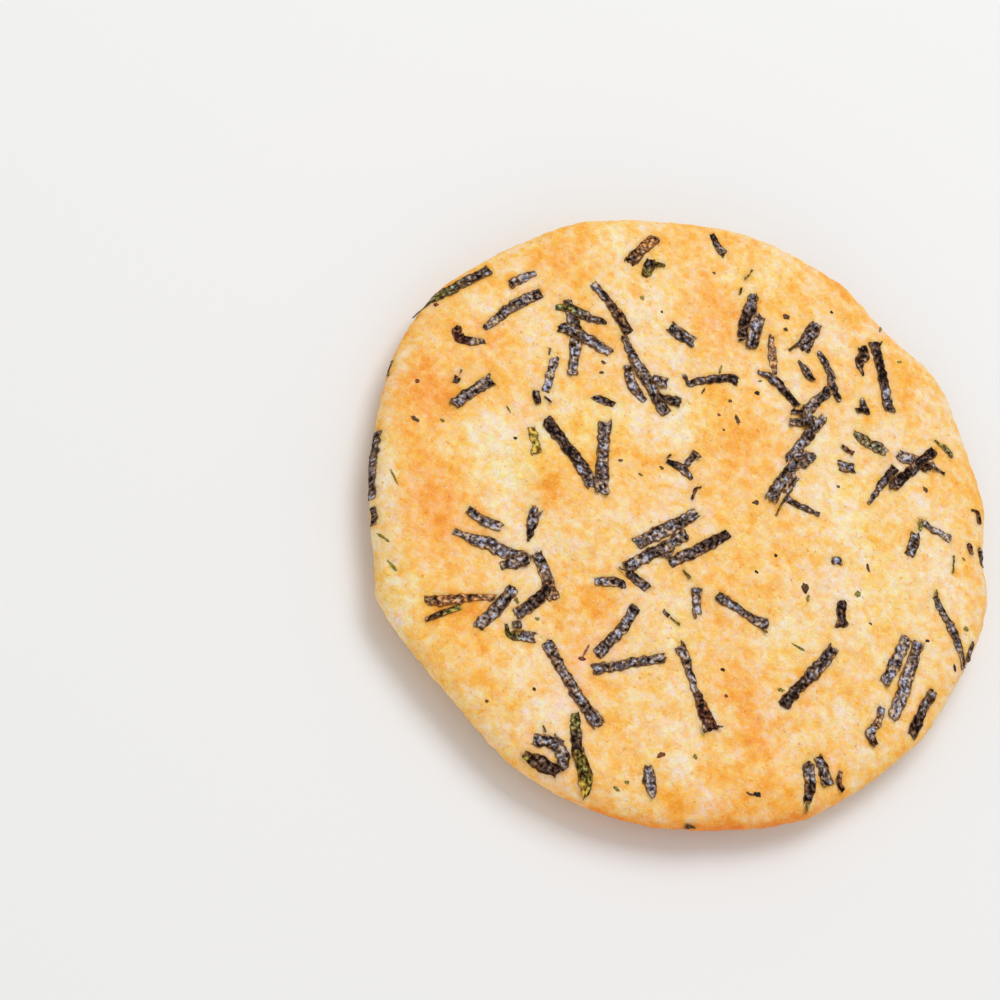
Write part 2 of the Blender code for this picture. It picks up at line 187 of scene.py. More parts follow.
# Where the crust is pinker, or with a minus sign more yellow, than its browning alone makes it.
BLUSHES = (
    (-36.0, -13.5, 4.5, 4.0, 0, 1.1), (-35.0, -1.0, 2.0, 2.2, 0, 0.9), (-24.5, -25.0, 6.0, 4.0, -35, 1.1),
    (-17.5, -24.5, 5.0, 1.6, 30, 0.4), (-11.0, -32.0, 4.0, 2.0, 40, 0.6), (-13.0, 24.5, 4.5, 3.5, -20, 0.8),
    (-18.0, 27.0, 2.0, 1.5, 0, 0.6), (-35.5, 16.0, 2.0, 3.5, -15, 0.6), (-36.0, 9.0, 2.0, 2.0, 0, 0.4),
    (22.0, -15.5, 5.0, 3.0, -20, 0.9), (28.0, -19.0, 3.0, 3.0, -40, 0.8), (28.3, -9.0, 1.6, 4.0, 0, 0.6),
    (36.5, -13.5, 1.5, 1.5, 0, 0.8), (34.0, -29.0, 14.0, 4.5, 46, 0.9), (3.5, -26.0, 3.0, 5.0, 0, 0.9),
    (7.5, -33.0, 4.0, 2.0, -30, 0.7), (10.0, -41.0, 6.0, 2.0, 0, 0.8), (1.0, 11.0, 3.5, 4.0, 0, 0.5),
    (6.0, 15.0, 1.5, 7.0, 8, 0.4), (17.0, 26.5, 3.0, 2.0, 0, 0.5), (5.5, 36.0, 2.5, 2.0, 0, 0.6),
    (3.0, 42.5, 2.0, 1.5, 0, 0.7), (13.0, -9.0, 4.0, 2.0, 10, 0.5), (-13.0, -13.0, 2.0, 2.0, 0, 0.5),
    (-11.0, -8.0, 1.5, 2.0, 0, 0.4), (0.0, -3.0, 4.0, 5.0, 0, 0.25), (22.0, 5.0, 3.0, 4.0, 0, 0.35),
    (42.0, 0.0, 2.0, 3.0, 0, 0.6), (42.0, 10.0, 2.0, 2.0, 0, 0.5), (1.0, -18.0, 3.0, 3.0, 0, 0.4),
    (-22.0, 9.0, 7.0, 2.0, 0, 0.3), (-17.0, -2.0, 3.5, 4.0, 0, -0.7), (-19.0, -11.0, 2.0, 4.0, 0, -0.8),
    (-24.5, -15.0, 5.0, 4.0, 0, -0.6), (-14.5, 1.0, 3.0, 2.0, 0, -0.5), (-7.0, 12.0, 2.0, 4.0, 0, -0.5),
    (20.0, 15.0, 4.0, 4.0, 0, -0.6), (14.5, 17.0, 2.0, 3.0, 0, -0.5), (28.0, 10.0, 4.0, 4.0, 0, -0.6),
    (-13.0, 33.0, 4.0, 5.0, 0, -0.6), (-33.0, 24.0, 3.0, 3.0, 0, -0.6), (-23.0, 23.0, 4.0, 3.0, 0, -0.4),
    (12.0, 21.0, 2.0, 1.5, 0, -0.5), (22.0, -6.0, 3.0, 4.0, 0, -0.4), (10.5, -15.5, 1.5, 2.0, 0, -0.6),
    (-34.5, -24.0, 2.5, 3.0, 0, -0.6), (-20.0, -36.5, 6.0, 2.5, -20, -0.6), (-41.5, 7.0, 2.5, 5.0, 0, -0.4),
    (7.0, 2.0, 2.5, 2.5, 0, -0.4),
)
PATCH_STRENGTH = 1.35
PATCH_FADE = 0.8
PATCH_WANDERS = ((1.3, 2.6, 5.0), (1.3, 2.6, 23.0))
STREWN_BAND = (2.0, 5.0)
MOTTLES = ((0.38, 3.4, 91.0), (0.36, 1.6, 93.0), (0.18, 8.0, 95.0))
UNDER_TONES = ((0.45, 9.0, 51.0), (0.30, 4.0, 53.0))
UNDER_TOAST = 0.05
HOLLOWS_TOASTED = 0.4

# Browning of the rim's lower half, part toasting and part painted shade away from the light: direction and
# half width, then strength.
RIM_TOAST_AND_SHADE = (
    (-52.0, 20.0, 1.15), (-95.0, 14.0, 0.35), (-20.0, 18.0, 0.35), (92.0, 12.0, 0.45), (-140.0, 26.0, 0.40),
    (160.0, 30.0, 0.30), (35.0, 30.0, 0.25),
)
RIM_TOAST_AND_SHADE_LEAST = 0.05
RIM_BAND = (RADIUS_MM - 4.5, RADIUS_MM - 1.5)
RIM_TOAST_AND_SHADE_TOP = (3.4, 6.2)

# The darker line low on the rim, a baked line with painted shade where the rim turns from the light: where it
# lies, and how it wavers and breaks.
SCORCH_AND_SHADE_DIRECTION = -47.0
SCORCH_AND_SHADE_ENDS = (16.2, 27.0)
SCORCH_AND_SHADE_BOTTOM = (2.6, 3.8)
SCORCH_AND_SHADE_TOP = (5.0, 6.5)
SCORCH_AND_SHADE_WAVER = ((0.5, 5.0, 71.0),)
SCORCH_AND_SHADE_BREAKS = ((0.5, 1.8, 73.0),)
SCORCH_AND_SHADE_STRENGTH = 0.85

# How far beside the seaweed the crust is darkened, as painted contact shade and oily staining, and how high
# on the crust that starts.
STAIN_AND_SHADE_REACH = 0.45 * MM
STAIN_AND_SHADE_LOWEST = 0.4 * HEIGHT

# Seaweed. A kind is how much red, green and blue of the plain seaweed it keeps, and how much painted sheen it
# gets.
KINDS = {
    "plain": (1.00, 1.00, 1.00, 0.78),
    "black": (0.85, 0.75, 0.70, 0.45),
    "silver": (0.98, 1.00, 1.06, 1.00),
    "grey": (1.00, 1.00, 1.00, 0.90),
    "green": (0.80, 0.95, 0.30, 0.80),
    "sage": (0.93, 1.04, 0.70, 0.95),
    "olive": (0.92, 0.94, 0.22, 0.82),
    "gold": (1.20, 1.05, 0.20, 1.10),
    "brown": (0.98, 0.72, 0.42, 0.65),
    "tan": (1.30, 0.98, 0.62, 1.00),
    "russet": (1.45, 0.88, 0.40, 0.95),
    "red": (1.04, 0.54, 0.34, 0.60),
}
USUAL_PAINTED_SHEEN = 0.78

# The colours of the flecks.
FLECK_TINTS = {
    "black": (0.012, 0.006, 0.004, 1.0),
    "olive": (0.130, 0.105, 0.018, 1.0),
    "brown": (0.060, 0.028, 0.012, 1.0),
    "red": (0.100, 0.026, 0.010, 1.0),
    "mauve": (0.140, 0.060, 0.050, 1.0),
}

# Each shred is the kind at its start and at its end, then the points that its middle line passes through,
# each with the shred's width there. A later shred lies on an earlier one that it crosses.
SHREDS = (
    # far left
    ("black", "plain", (-22.6, 34.6, 0.9), (-21.0, 33.6, 1.2), (-19.3, 33.2, 1.3)),
    ("russet", "brown", (-27.8, 28.0, 1.5), (-28.1, 21.8, 1.8)),
    ("black", "olive", (-26.2, 24.6, 1.6), (-25.5, 22.8, 1.5), (-25.2, 21.6, 0.8)),
    ("olive", "green", (-24.2, 25.2, 0.3), (-25.6, 24.1, 0.8)),
    ("brown", "olive", (-15.0, 34.2, 0.4), (-14.9, 32.0, 0.4)),
    ("brown", "olive", (-14.5, 30.8, 0.4), (-14.0, 29.5, 0.3)),
    ("plain", "plain", (-18.3, 18.5, 1.7), (-13.9, 18.8, 1.7)),
    ("plain", "brown", (-29.8, 15.8, 0.9), (-26.5, 15.1, 1.0), (-23.8, 14.3, 1.5), (-21.2, 13.6, 1.3)),
    ("grey", "grey", (-18.6, 9.6, 1.1), (-16.3, 7.8, 1.4), (-13.5, 7.2, 0.9)),
    ("plain", "plain", (-21.7, 12.7, 0.9), (-18.9, 11.3, 1.2), (-15.5, 9.9, 1.8), (-10.3, 8.0, 1.6)),
    ("grey", "plain", (-14.9, 10.6, 1.3), (-12.9, 11.6, 1.5)),
    ("black", "plain", (-12.9, 9.1, 1.2), (-9.8, 10.6, 1.4)),
    # the tangle on the left
    ("plain", "silver", (-30.7, 11.3, 1.1), (-28.5, 9.6, 1.6), (-26.2, 7.6, 1.7), (-24.3, 4.6, 1.3),
     (-23.1, 2.9, 1.6)),
    ("plain", "grey", (-29.2, 7.2, 1.3), (-27.0, 8.1, 1.6), (-24.2, 8.9, 1.6), (-21.4, 9.5, 1.3)),
    ("green", "plain", (-31.2, 9.1, 0.6), (-29.3, 10.5, 1.2), (-27.0, 11.3, 1.4), (-24.6, 12.6, 0.5)),
    ("silver", "silver", (-26.5, 3.2, 1.5), (-25.7, 1.4, 1.0), (-25.2, 0.2, 1.3), (-24.7, -0.8, 1.0),
     (-24.2, -1.9, 1.4)),
    ("plain", "black", (-25.3, -2.6, 0.9), (-24.6, -3.3, 1.1), (-23.8, -4.0, 0.6)),
    ("black", "brown", (-24.0, -2.4, 0.4), (-22.6, -2.5, 0.3)),
    ("brown", "brown", (-28.0, 3.8, 0.4), (-27.4, 2.8, 0.3)),
    # left rim
    ("plain", "grey", (-33.8, 9.6, 1.5), (-35.5, 4.6, 1.5), (-36.0, -0.5, 0.9)),
    ("silver", "plain", (-36.4, 11.2, 0.5), (-36.9, 9.6, 1.3), (-37.9, 7.0, 1.2)),
    ("plain", "green", (-41.2, 7.2, 1.4), (-43.4, 0.0, 1.3), (-44.6, -2.6, 0.8), (-44.4, -5.0, 0.4)),
    ("grey", "plain", (-42.3, -12.0, 0.4), (-41.3, -14.3, 0.4)),
    ("red", "plain", (-39.0, -3.0, 1.2), (-37.9, -4.0, 1.4), (-36.5, -3.5, 1.2), (-34.8, -1.9, 0.8)),
    ("plain", "plain", (-30.5, -5.6, 1.5), (-32.0, -12.4, 1.6)),
    ("grey", "plain", (-31.4, -5.2, 0.4), (-31.0, -6.2, 0.5)),
    ("brown", "plain", (-34.2, -8.5, 0.9), (-33.8, -9.7, 0.8)),
    ("olive", "olive", (-34.6, -7.4, 0.3), (-34.2, -8.2, 0.3)),
    ("gold", "gold", (-22.4, -7.2, 1.1), (-21.0, -8.3, 1.0), (-19.3, -10.0, 1.3)),
    ("plain", "black", (-19.2, 2.5, 0.8), (-17.9, 3.0, 1.3), (-16.3, 3.8, 1.0)),
    ("black", "plain", (-21.6, -4.9, 1.7), (-14.2, -6.7, 1.8), (-10.8, -8.1, 1.7)),
    ("plain", "grey", (-15.6, 0.9, 1.6), (-12.8, -3.4, 1.6), (-9.4, -8.0, 1.9)),
    # far middle
    ("tan", "tan", (-7.1, 28.2, 0.9), (-5.4, 26.2, 1.1), (-3.0, 23.7, 0.8)),
    ("plain", "black", (-12.7, 31.3, 1.1), (-11.2, 28.2, 1.9), (-9.6, 24.6, 1.6)),
    ("silver", "plain", (-10.1, 29.1, 1.4), (-9.1, 26.9, 1.8), (-7.8, 24.4, 1.8)),
    ("plain", "black", (-9.4, 24.9, 0.5), (-9.8, 23.8, 0.3)),
    ("plain", "black", (-5.1, 22.3, 0.3), (-3.3, 22.9, 1.1), (-0.9, 23.0, 1.2), (2.2, 22.5, 0.8)),
    ("plain", "plain", (-3.4, 34.6, 1.7), (-2.4, 29.7, 2.1)),
    ("plain", "brown", (-3.1, 30.8, 0.7), (-3.8, 28.2, 0.3)),
    ("plain", "plain", (-0.7, 31.4, 1.0), (2.0, 30.2, 1.2), (3.9, 28.8, 1.3), (6.2, 27.7, 0.5)),
    ("plain", "plain", (-1.9, 27.8, 0.4), (-0.1, 27.4, 1.4), (1.6, 27.1, 0.4)),
    ("plain", "grey", (4.1, 29.3, 1.1), (3.7, 25.4, 1.4), (3.7, 21.8, 1.7)),
    ("plain", "plain", (2.9, 19.8, 1.2), (5.3, 22.9, 1.3)),
    ("plain", "plain", (2.0, 21.1, 0.5), (4.0, 22.7, 0.7)),
    ("silver", "grey", (5.9, 24.2, 1.3), (6.0, 21.1, 1.4)),
    ("silver", "plain", (3.3, 23.1, 1.5), (5.3, 21.1, 1.6)),
    ("plain", "grey", (5.9, 20.9, 1.4), (6.2, 15.1, 1.5)),
    ("silver", "plain", (6.1, 15.6, 1.1), (8.6, 18.7, 1.1)),
    ("plain", "plain", (8.2, 18.0, 1.1), (8.2, 15.6, 1.1)),
    ("plain", "grey", (7.2, 15.5, 1.5), (7.8, 8.1, 1.8)),
    ("plain", "plain", (8.3, 14.0, 1.1), (8.9, 10.7, 1.2)),
    ("plain", "plain", (8.9, 10.0, 0.8), (12.6, 11.3, 0.9), (14.2, 11.9, 0.5)),
    ("olive", "olive", (9.1, 9.6, 0.4), (9.9, 7.1, 0.3)),
    ("black", "brown", (3.2, 37.0, 1.2), (4.3, 36.2, 1.6), (4.6, 34.5, 1.3), (6.2, 33.3, 0.4)),
    ("black", "plain", (4.0, 39.1, 1.3), (8.2, 35.6, 1.5), (12.2, 32.1, 1.4)),
    ("plain", "black", (4.8, 40.2, 0.3), (5.0, 38.6, 0.6)),
    ("plain", "black", (7.9, 30.3, 0.3), (9.2, 29.7, 1.1), (10.3, 29.3, 0.6)),
    ("black", "brown", (9.3, 29.6, 0.9), (8.5, 28.3, 0.7)),
    ("sage", "sage", (10.3, 25.6, 1.2), (13.0, 26.1, 1.4), (15.6, 26.6, 1.6)),
    ("brown", "red", (10.2, 22.7, 0.7), (12.3, 22.9, 0.6)),
    ("plain", "plain", (11.5, 20.0, 1.5), (13.8, 21.6, 1.4)),
    ("black", "plain", (-6.0, 19.0, 1.4), (-7.5, 18.3, 1.2), (-10.1, 14.9, 1.0), (-10.7, 13.6, 0.7),
     (-12.2, 14.1, 0.4)),
    # right
    ("silver", "black", (16.8, 27.9, 1.7), (21.5, 30.0, 1.8)),
    ("black", "black", (20.3, 32.7, 1.5), (19.8, 28.0, 1.2), (19.2, 23.3, 1.6)),
    ("plain", "plain", (20.5, 30.2, 0.7), (23.6, 30.9, 0.4)),
    ("black", "plain", (17.7, 26.2, 1.2), (17.9, 22.0, 1.1), (18.3, 18.6, 0.3)),
    ("olive", "sage", (19.3, 33.9, 0.2), (20.8, 34.0, 0.7), (22.0, 34.2, 1.1), (22.9, 33.9, 0.5)),
    ("red", "brown", (29.4, 29.6, 0.3), (30.5, 30.1, 0.8), (31.6, 29.0, 0.5)),
    ("plain", "black", (33.6, 25.9, 0.6), (34.8, 25.7, 1.4), (36.0, 24.8, 1.3)),
    ("red", "brown", (31.9, 25.0, 0.7), (32.8, 24.8, 0.9), (33.4, 24.0, 0.5)),
    ("grey", "silver", (25.4, 22.6, 0.9), (30.0, 23.4, 1.1)),
    ("olive", "olive", (25.0, 22.4, 0.5), (26.0, 21.2, 0.4)),
    ("plain", "plain", (25.9, 20.6, 1.4), (27.0, 16.9, 1.4)),
    ("olive", "olive", (31.7, 21.9, 0.3), (33.1, 19.6, 0.3)),
    ("plain", "plain", (33.2, 14.9, 0.7), (38.0, 12.9, 1.2), (42.6, 10.6, 1.0)),
    ("olive", "plain", (32.7, 15.6, 0.3), (33.4, 14.9, 0.5)),
    ("plain", "plain", (41.4, 14.3, 0.8), (42.3, 11.8, 0.6)),
    ("silver", "silver", (19.4, 7.9, 0.9), (20.7, 9.1, 1.1)),
    ("black", "black", (24.0, 4.6, 0.8), (24.8, 3.5, 1.3), (25.4, 2.7, 1.0), (26.5, 1.5, 1.9)),
    ("plain", "black", (27.4, -1.4, 1.5), (27.5, -5.0, 1.6), (27.3, -9.0, 1.5), (27.2, -13.1, 1.6)),
    ("silver", "silver", (33.9, 7.6, 1.4), (34.9, 3.6, 1.6), (35.7, -0.3, 1.5)),
    ("silver", "silver", (35.6, 8.2, 1.5), (37.4, 3.0, 1.8), (38.9, -1.0, 1.7), (39.2, -3.2, 1.2)),
    ("silver", "tan", (37.3, -3.2, 0.9), (38.3, -5.0, 1.1), (38.2, -6.2, 1.0)),
    ("silver", "brown", (38.1, -5.9, 0.9), (38.6, -7.1, 1.4), (40.1, -7.5, 0.9)),
    ("plain", "black", (41.3, 4.4, 1.3), (41.8, 1.4, 1.4), (43.0, -2.6, 1.5)),
    # middle
    ("black", "plain", (-3.7, 6.0, 0.9), (-3.6, 3.6, 0.9)),
    ("black", "plain", (-4.3, 5.9, 0.5), (-2.8, 5.8, 0.5)),
    ("black", "plain", (-6.0, 2.4, 0.4), (-3.9, 2.9, 1.3), (-1.7, 2.7, 0.5)),
    ("red", "brown", (-6.2, 3.5, 0.3), (-6.1, 2.6, 0.4)),
    ("red", "red", (-0.1, 2.9, 0.4), (-0.5, 1.8, 0.6), (0.2, 0.4, 0.4)),
    ("grey", "grey", (1.8, -0.5, 1.6), (-1.6, -10.2, 1.8)),
    ("black", "plain", (6.7, 0.0, 1.3), (5.2, -4.5, 1.5), (3.4, -9.1, 1.6)),
    ("black", "plain", (1.8, -5.3, 1.0), (2.5, -9.1, 1.3)),
    ("plain", "plain", (2.7, -4.0, 1.4), (1.4, -8.4, 1.5), (-0.5, -13.8, 1.5)),
    ("black", "plain", (0.1, -13.9, 1.3), (3.7, -13.8, 1.3)),
    ("black", "brown", (-1.3, -14.3, 0.3), (0.0, -14.3, 0.3)),
    ("silver", "silver", (8.3, -8.9, 1.5), (9.5, -10.4, 1.1), (10.8, -11.9, 1.6)),
    ("olive", "olive", (5.3, -8.4, 0.5), (6.9, -8.7, 0.4)),
    ("plain", "black", (7.0, -14.7, 0.6), (8.2, -14.8, 0.5)),
    ("olive", "gold", (8.2, -14.7, 0.3), (10.0, -14.6, 0.3)),
    ("plain", "plain", (11.0, -8.0, 1.3), (14.6, -7.1, 1.1), (17.2, -6.5, 1.2), (18.9, -6.0, 1.9)),
    # near left
    ("silver", "black", (-14.6, -16.0, 0.9), (-13.8, -17.4, 1.6), (-12.9, -19.0, 1.0), (-12.3, -20.2, 0.3)),
    ("plain", "plain", (-13.6, -15.3, 0.4), (-13.6, -16.9, 0.6)),
    ("plain", "plain", (-15.0, -16.0, 0.3), (-14.0, -16.7, 0.5)),
    ("plain", "silver", (-21.1, -22.5, 1.0), (-18.4, -22.2, 1.3), (-16.0, -21.4, 1.4)),
    ("silver", "silver", (-20.4, -26.3, 0.7), (-18.6, -25.5, 1.1), (-17.4, -24.9, 1.7),
     (-14.0, -23.5, 1.7), (-10.3, -21.9, 1.5)),
    ("plain", "plain", (-10.6, -21.9, 1.2), (-11.5, -23.3, 1.6), (-12.7, -25.5, 1.0)),
    ("grey", "tan", (-10.5, -20.4, 1.4), (-7.6, -22.0, 1.6), (-4.5, -23.8, 1.9)),
    ("black", "plain", (-6.2, -22.9, 1.5), (-6.4, -26.7, 1.6), (-7.1, -29.3, 1.4)),
    ("brown", "olive", (-15.2, -38.2, 0.6), (-14.0, -35.6, 0.9), (-13.0, -33.4, 0.8)),
    ("russet", "russet", (-16.9, -36.3, 1.4), (-14.5, -33.7, 1.3), (-12.5, -31.3, 1.0),
     (-10.5, -29.4, 0.7)),
    ("plain", "grey", (-9.6, -26.2, 1.6), (-9.6, -34.2, 1.6)),
    ("sage", "grey", (-6.6, -30.6, 0.8), (-5.5, -29.7, 0.9)),
    ("olive", "silver", (-7.2, -31.0, 0.5), (-6.1, -31.7, 0.8), (-4.9, -31.2, 1.1), (-3.1, -29.6, 1.5)),
    ("silver", "plain", (-2.3, -18.2, 1.3), (-0.8, -16.7, 1.2), (0.7, -15.8, 0.9), (1.2, -16.2, 0.6)),
    ("plain", "plain", (4.0, -16.7, 1.3), (4.6, -21.0, 1.5), (4.3, -25.9, 1.5)),
    ("grey", "plain", (11.4, -19.6, 1.3), (5.2, -27.8, 1.4)),
    ("grey", "red", (11.6, -17.0, 1.6), (13.5, -17.7, 1.3), (16.2, -19.6, 0.9), (19.3, -21.2, 1.4),
     (22.3, -22.8, 1.9)),
    ("silver", "brown", (20.8, -22.9, 0.5), (21.9, -23.7, 0.5)),
    ("brown", "brown", (22.3, -22.3, 0.5), (23.0, -21.4, 0.3)),
    # near rim
    ("plain", "plain", (-1.7, -29.0, 1.5), (3.0, -30.8, 1.4), (6.7, -32.0, 1.5), (10.8, -32.9, 2.0)),
    ("green", "black", (7.3, -34.0, 0.9), (9.2, -36.1, 1.5), (11.6, -38.5, 1.5)),
    ("olive", "gold", (10.7, -37.7, 1.5), (13.9, -39.6, 1.9), (15.6, -41.0, 0.9)),
    ("plain", "plain", (7.2, -38.6, 1.1), (9.1, -38.3, 1.1)),
    ("plain", "grey", (5.6, -40.7, 1.5), (7.3, -39.3, 1.6), (9.6, -39.5, 1.6), (11.1, -40.8, 1.4)),
    ("olive", "olive", (5.2, -38.2, 0.4), (6.2, -38.9, 0.4)),
    ("brown", "black", (6.0, -42.6, 1.0), (8.0, -42.1, 1.5), (10.8, -41.4, 1.4)),
    ("olive", "olive", (5.8, -42.8, 0.4), (6.9, -42.6, 0.6)),
    ("grey", "plain", (35.0, -14.6, 1.2), (37.0, -15.5, 1.6), (38.6, -16.6, 1.8)),
    ("plain", "black", (34.7, -16.4, 1.7), (36.6, -18.2, 1.6), (38.0, -20.3, 1.1)),
    ("olive", "gold", (37.9, -20.0, 0.7), (38.6, -21.3, 0.3)),
    ("brown", "red", (38.6, -13.7, 0.6), (39.5, -15.0, 0.8), (40.7, -15.2, 0.6)),
    ("plain", "silver", (18.9, -32.5, 1.1), (20.4, -33.9, 1.6), (22.2, -35.1, 0.7)),
    ("brown", "black", (27.7, -34.2, 0.4), (29.0, -33.3, 0.3)),
    ("plain", "plain", (-37.1, -21.6, 1.2), (-34.5, -25.8, 1.2), (-31.3, -29.6, 1.0)),
    ("plain", "plain", (-30.4, -30.2, 0.6), (-28.7, -32.1, 0.6)),
)
# A shred's mesh: how fine, how thick, how deep in the crust, and how much wider than its listed widths.
SHRED_CELL = 0.185 * MM
SHRED_THICKNESS = 0.14 * MM
SHRED_SINK = 0.02 * MM
SPREAD = 1.13
LINE_STEPS = 16

# Its outline: a bow in a straight one, ends cut askew and torn, drifting width, and ragged sides, each a
# depth and the size of its notches.
BOW = 0.03
SLANT = 0.25
TORN_END = 0.8
TORN_ACROSS = 2.3
TORN_ALONG = 3.0
TORN_SHIFT = 3.3
WIDTH_DRIFT = 0.10
DRIFT_CELL = 2.0
DRIFT_SHIFT = 0.5
RAGGED = ((0.18, 0.75), (0.34, 0.36))
SIDE_SHIFT = 7.0
NARROWEST = 0.05
END_TAPER = 0.12
END_TAPER_REACH = 0.25
HEADING_REACH = 0.2

# How it lies: crinkles, each a height and a size, a fold along it, and ends that curl up.
CRINKLES = ((0.14, 0.9), (0.08, 0.40))
FOLD = 0.14
FOLD_CHANCE = (-0.5, 1.0)
FOLD_LEVEL = 0.4
FOLD_NARROWEST = 0.1
FOLD_WIDEST = 0.8
END_CURL = 0.30
END_CURL_REACH = 1.6
CURL_CHANCE = (-0.6, 1.0)

# How it bridges what lies under it: how often its up directions, its bed and the heights laid are smoothed,
# how deep it may sag, and how it clears and adds to the seaweed laid before.
LAID_CELL = 0.2 * MM
UPS_BLURRED = 6
SPOTS_BLURRED = 4
LAID_BLURRED = 12
SAG_DEEPEST = 0.4 * SHRED_THICKNESS
LAID_CLEARANCE = 0.6 * SHRED_THICKNESS
LAID_TOP = 0.3 * SHRED_THICKNESS
SEED_STEP = 3.7

# Where along a shred its kind changes, and how far in from its ends the torn edge reaches.
KIND_CHANGE = (0.3, 0.75)
KIND_CHANGE_SHIFT = 0.12
TORN_REACH = 0.5
TORN_SHORTEST = 0.6

# The map that the shreds are laid out on, the gaps between them, the room each is given past the straight
# lines between its points, and how far the thin walls stand out.
ATLAS = 72.0
ATLAS_GAP = 0.5
ATLAS_SPARE = 0.3
CURVED_LONGER = 1.08
WALL_ON_MAP = 0.2
WALL_NARROWEST = 0.3

# Each fleck is its kind, its place, its length and width, and the direction of its length.
FLECKS = (
    ("olive", -23.4, 18.9, 0.7, 0.5, 20), ("brown", -20.2, 19.4, 0.4, 0.3, 0),
    ("brown", -7.2, 32.0, 1.2, 0.7, 20),
    ("brown", -6.1, 30.3, 0.6, 0.5, 0), ("black", -3.1, 19.8, 0.8, 0.6, 30),
    ("olive", -3.9, 21.5, 0.6, 0.3, 60),
    ("olive", -9.0, 18.6, 1.3, 0.3, -75), ("brown", -2.7, 14.4, 1.5, 0.5, -35),
    ("brown", -5.1, 15.8, 0.5, 0.4, 0),
    ("olive", 3.6, 42.3, 2.0, 0.4, -80), ("olive", 8.6, 39.6, 0.7, 0.4, 50),
    ("black", -3.0, 37.7, 0.5, 0.4, 0),
    ("brown", 22.9, 26.9, 0.9, 0.5, -30), ("olive", 39.3, 14.6, 0.8, 0.6, 20),
    ("brown", -21.3, 7.6, 0.6, 0.4, 0),
    ("brown", -20.5, 6.2, 0.6, 0.4, 30), ("olive", -26.2, -7.4, 1.0, 0.25, -15),
    ("black", -22.9, -10.1, 0.5, 0.4, 0),
    ("red", -37.7, -12.9, 0.6, 0.5, 40), ("red", -43.1, -2.0, 0.7, 0.4, 60),
    ("olive", -31.6, -15.1, 0.7, 0.5, 20),
    ("brown", -34.4, -17.5, 1.3, 0.5, 5), ("red", -4.9, 13.1, 0.5, 0.3, 0),
    ("red", -3.1, 11.8, 0.4, 0.3, 0),
    ("brown", 6.7, 6.4, 0.9, 0.6, 50), ("brown", -8.7, 14.4, 1.0, 0.3, -80),
    ("brown", -10.6, -2.2, 0.7, 0.4, 40),
    ("olive", -7.3, -1.7, 0.8, 0.3, 20), ("brown", -5.8, 1.1, 0.6, 0.4, 0),
    ("black", 12.9, -1.1, 0.5, 0.4, 0),
    ("black", 13.4, 2.6, 0.5, 0.4, 0), ("brown", 23.9, 11.2, 1.0, 0.4, -35),
    ("olive", 25.1, 6.9, 1.0, 0.8, 40),
    ("brown", 19.2, 2.0, 1.5, 1.0, -50), ("olive", 20.4, 1.1, 0.9, 0.4, -60),
    ("black", 41.6, 9.3, 0.9, 0.4, -30),
    ("black", 36.4, 9.1, 0.6, 0.4, 20), ("olive", 23.8, -5.0, 2.0, 0.25, 15),
    ("olive", 25.6, -11.4, 1.0, 0.4, 40),
    ("black", 18.1, -15.1, 0.6, 0.4, 30), ("red", 20.7, -17.6, 0.5, 0.4, 0),
    ("black", 32.2, -24.9, 1.0, 0.7, 30),
    ("brown", 31.4, -25.6, 1.0, 0.3, 20), ("olive", 22.8, -27.1, 0.7, 0.5, 0),
    ("red", 19.3, -30.3, 1.1, 0.6, 60),
    ("olive", 18.3, -36.2, 0.7, 0.4, 30), ("olive", 17.9, -37.8, 0.9, 0.4, 10),
    ("black", 1.3, -35.5, 0.5, 0.4, 0),
    ("brown", -2.2, -40.9, 0.5, 0.4, 0), ("olive", -8.2, -27.5, 0.8, 0.5, -20),
    ("olive", -4.5, -27.4, 0.6, 0.4, 30),
    ("olive", -31.2, -25.8, 2.2, 0.3, -27), ("olive", -26.7, -33.0, 1.8, 0.3, -6),
    ("olive", -23.1, -35.4, 1.8, 0.3, -15),
    ("mauve", 3.0, -26.2, 1.8, 0.3, -75), ("red", 3.3, -27.4, 0.9, 0.5, 40),
    ("olive", 33.0, 22.5, 0.5, 0.3, 0),
    ("brown", 13.6, 17.6, 0.5, 0.3, 40), ("brown", -18.6, 29.8, 0.5, 0.3, 0),
    ("brown", 29.0, 5.0, 0.5, 0.3, 20),
)
FLECK_THICKNESS = 0.08 * MM
FLECK_DEPTH = 1.6 * FLECK_THICKNESS
FLECK_SIDES = 12
FLECK_NOTCHES = 1.6
FLECK_STEP = 5.1
FLECK_RAGGED = 0.28
FLECK_CRINKLE = 0.03 * MM
FLECK_CRINKLE_CELL = 0.3 * MM

# The crust from palest to most toasted, as screen colours, and the white of its finest specks: pale rice bits
# and painted glints.
CRUST_SHADES = (
    (0.00, (244, 224, 202)),
    (0.20, (246, 216, 176)),
    (0.40, (247, 204, 140)),
    (0.58, (248, 192, 106)),
    (0.74, (248, 180, 77)),
    (0.88, (246, 170, 56)),
    (1.00, (241, 158, 40)),
)
WHITE_OF_SPECKS_AND_GLINTS = (247, 231, 208)

# Plain seaweed from painted shade in its hollows to a painted sheen on its creases, and the crumbly brown of
# its torn edges.
NORI_TONES_AND_PAINTED_SHEEN = (
    (0.26, (14, 5, 3)),
    (0.36, (50, 33, 24)),
    (0.46, (86, 69, 58)),
    (0.56, (118, 103, 95)),
    (0.65, (150, 139, 134)),
    (0.75, (200, 193, 192)),
)
TORN_EDGE = (126, 88, 50)

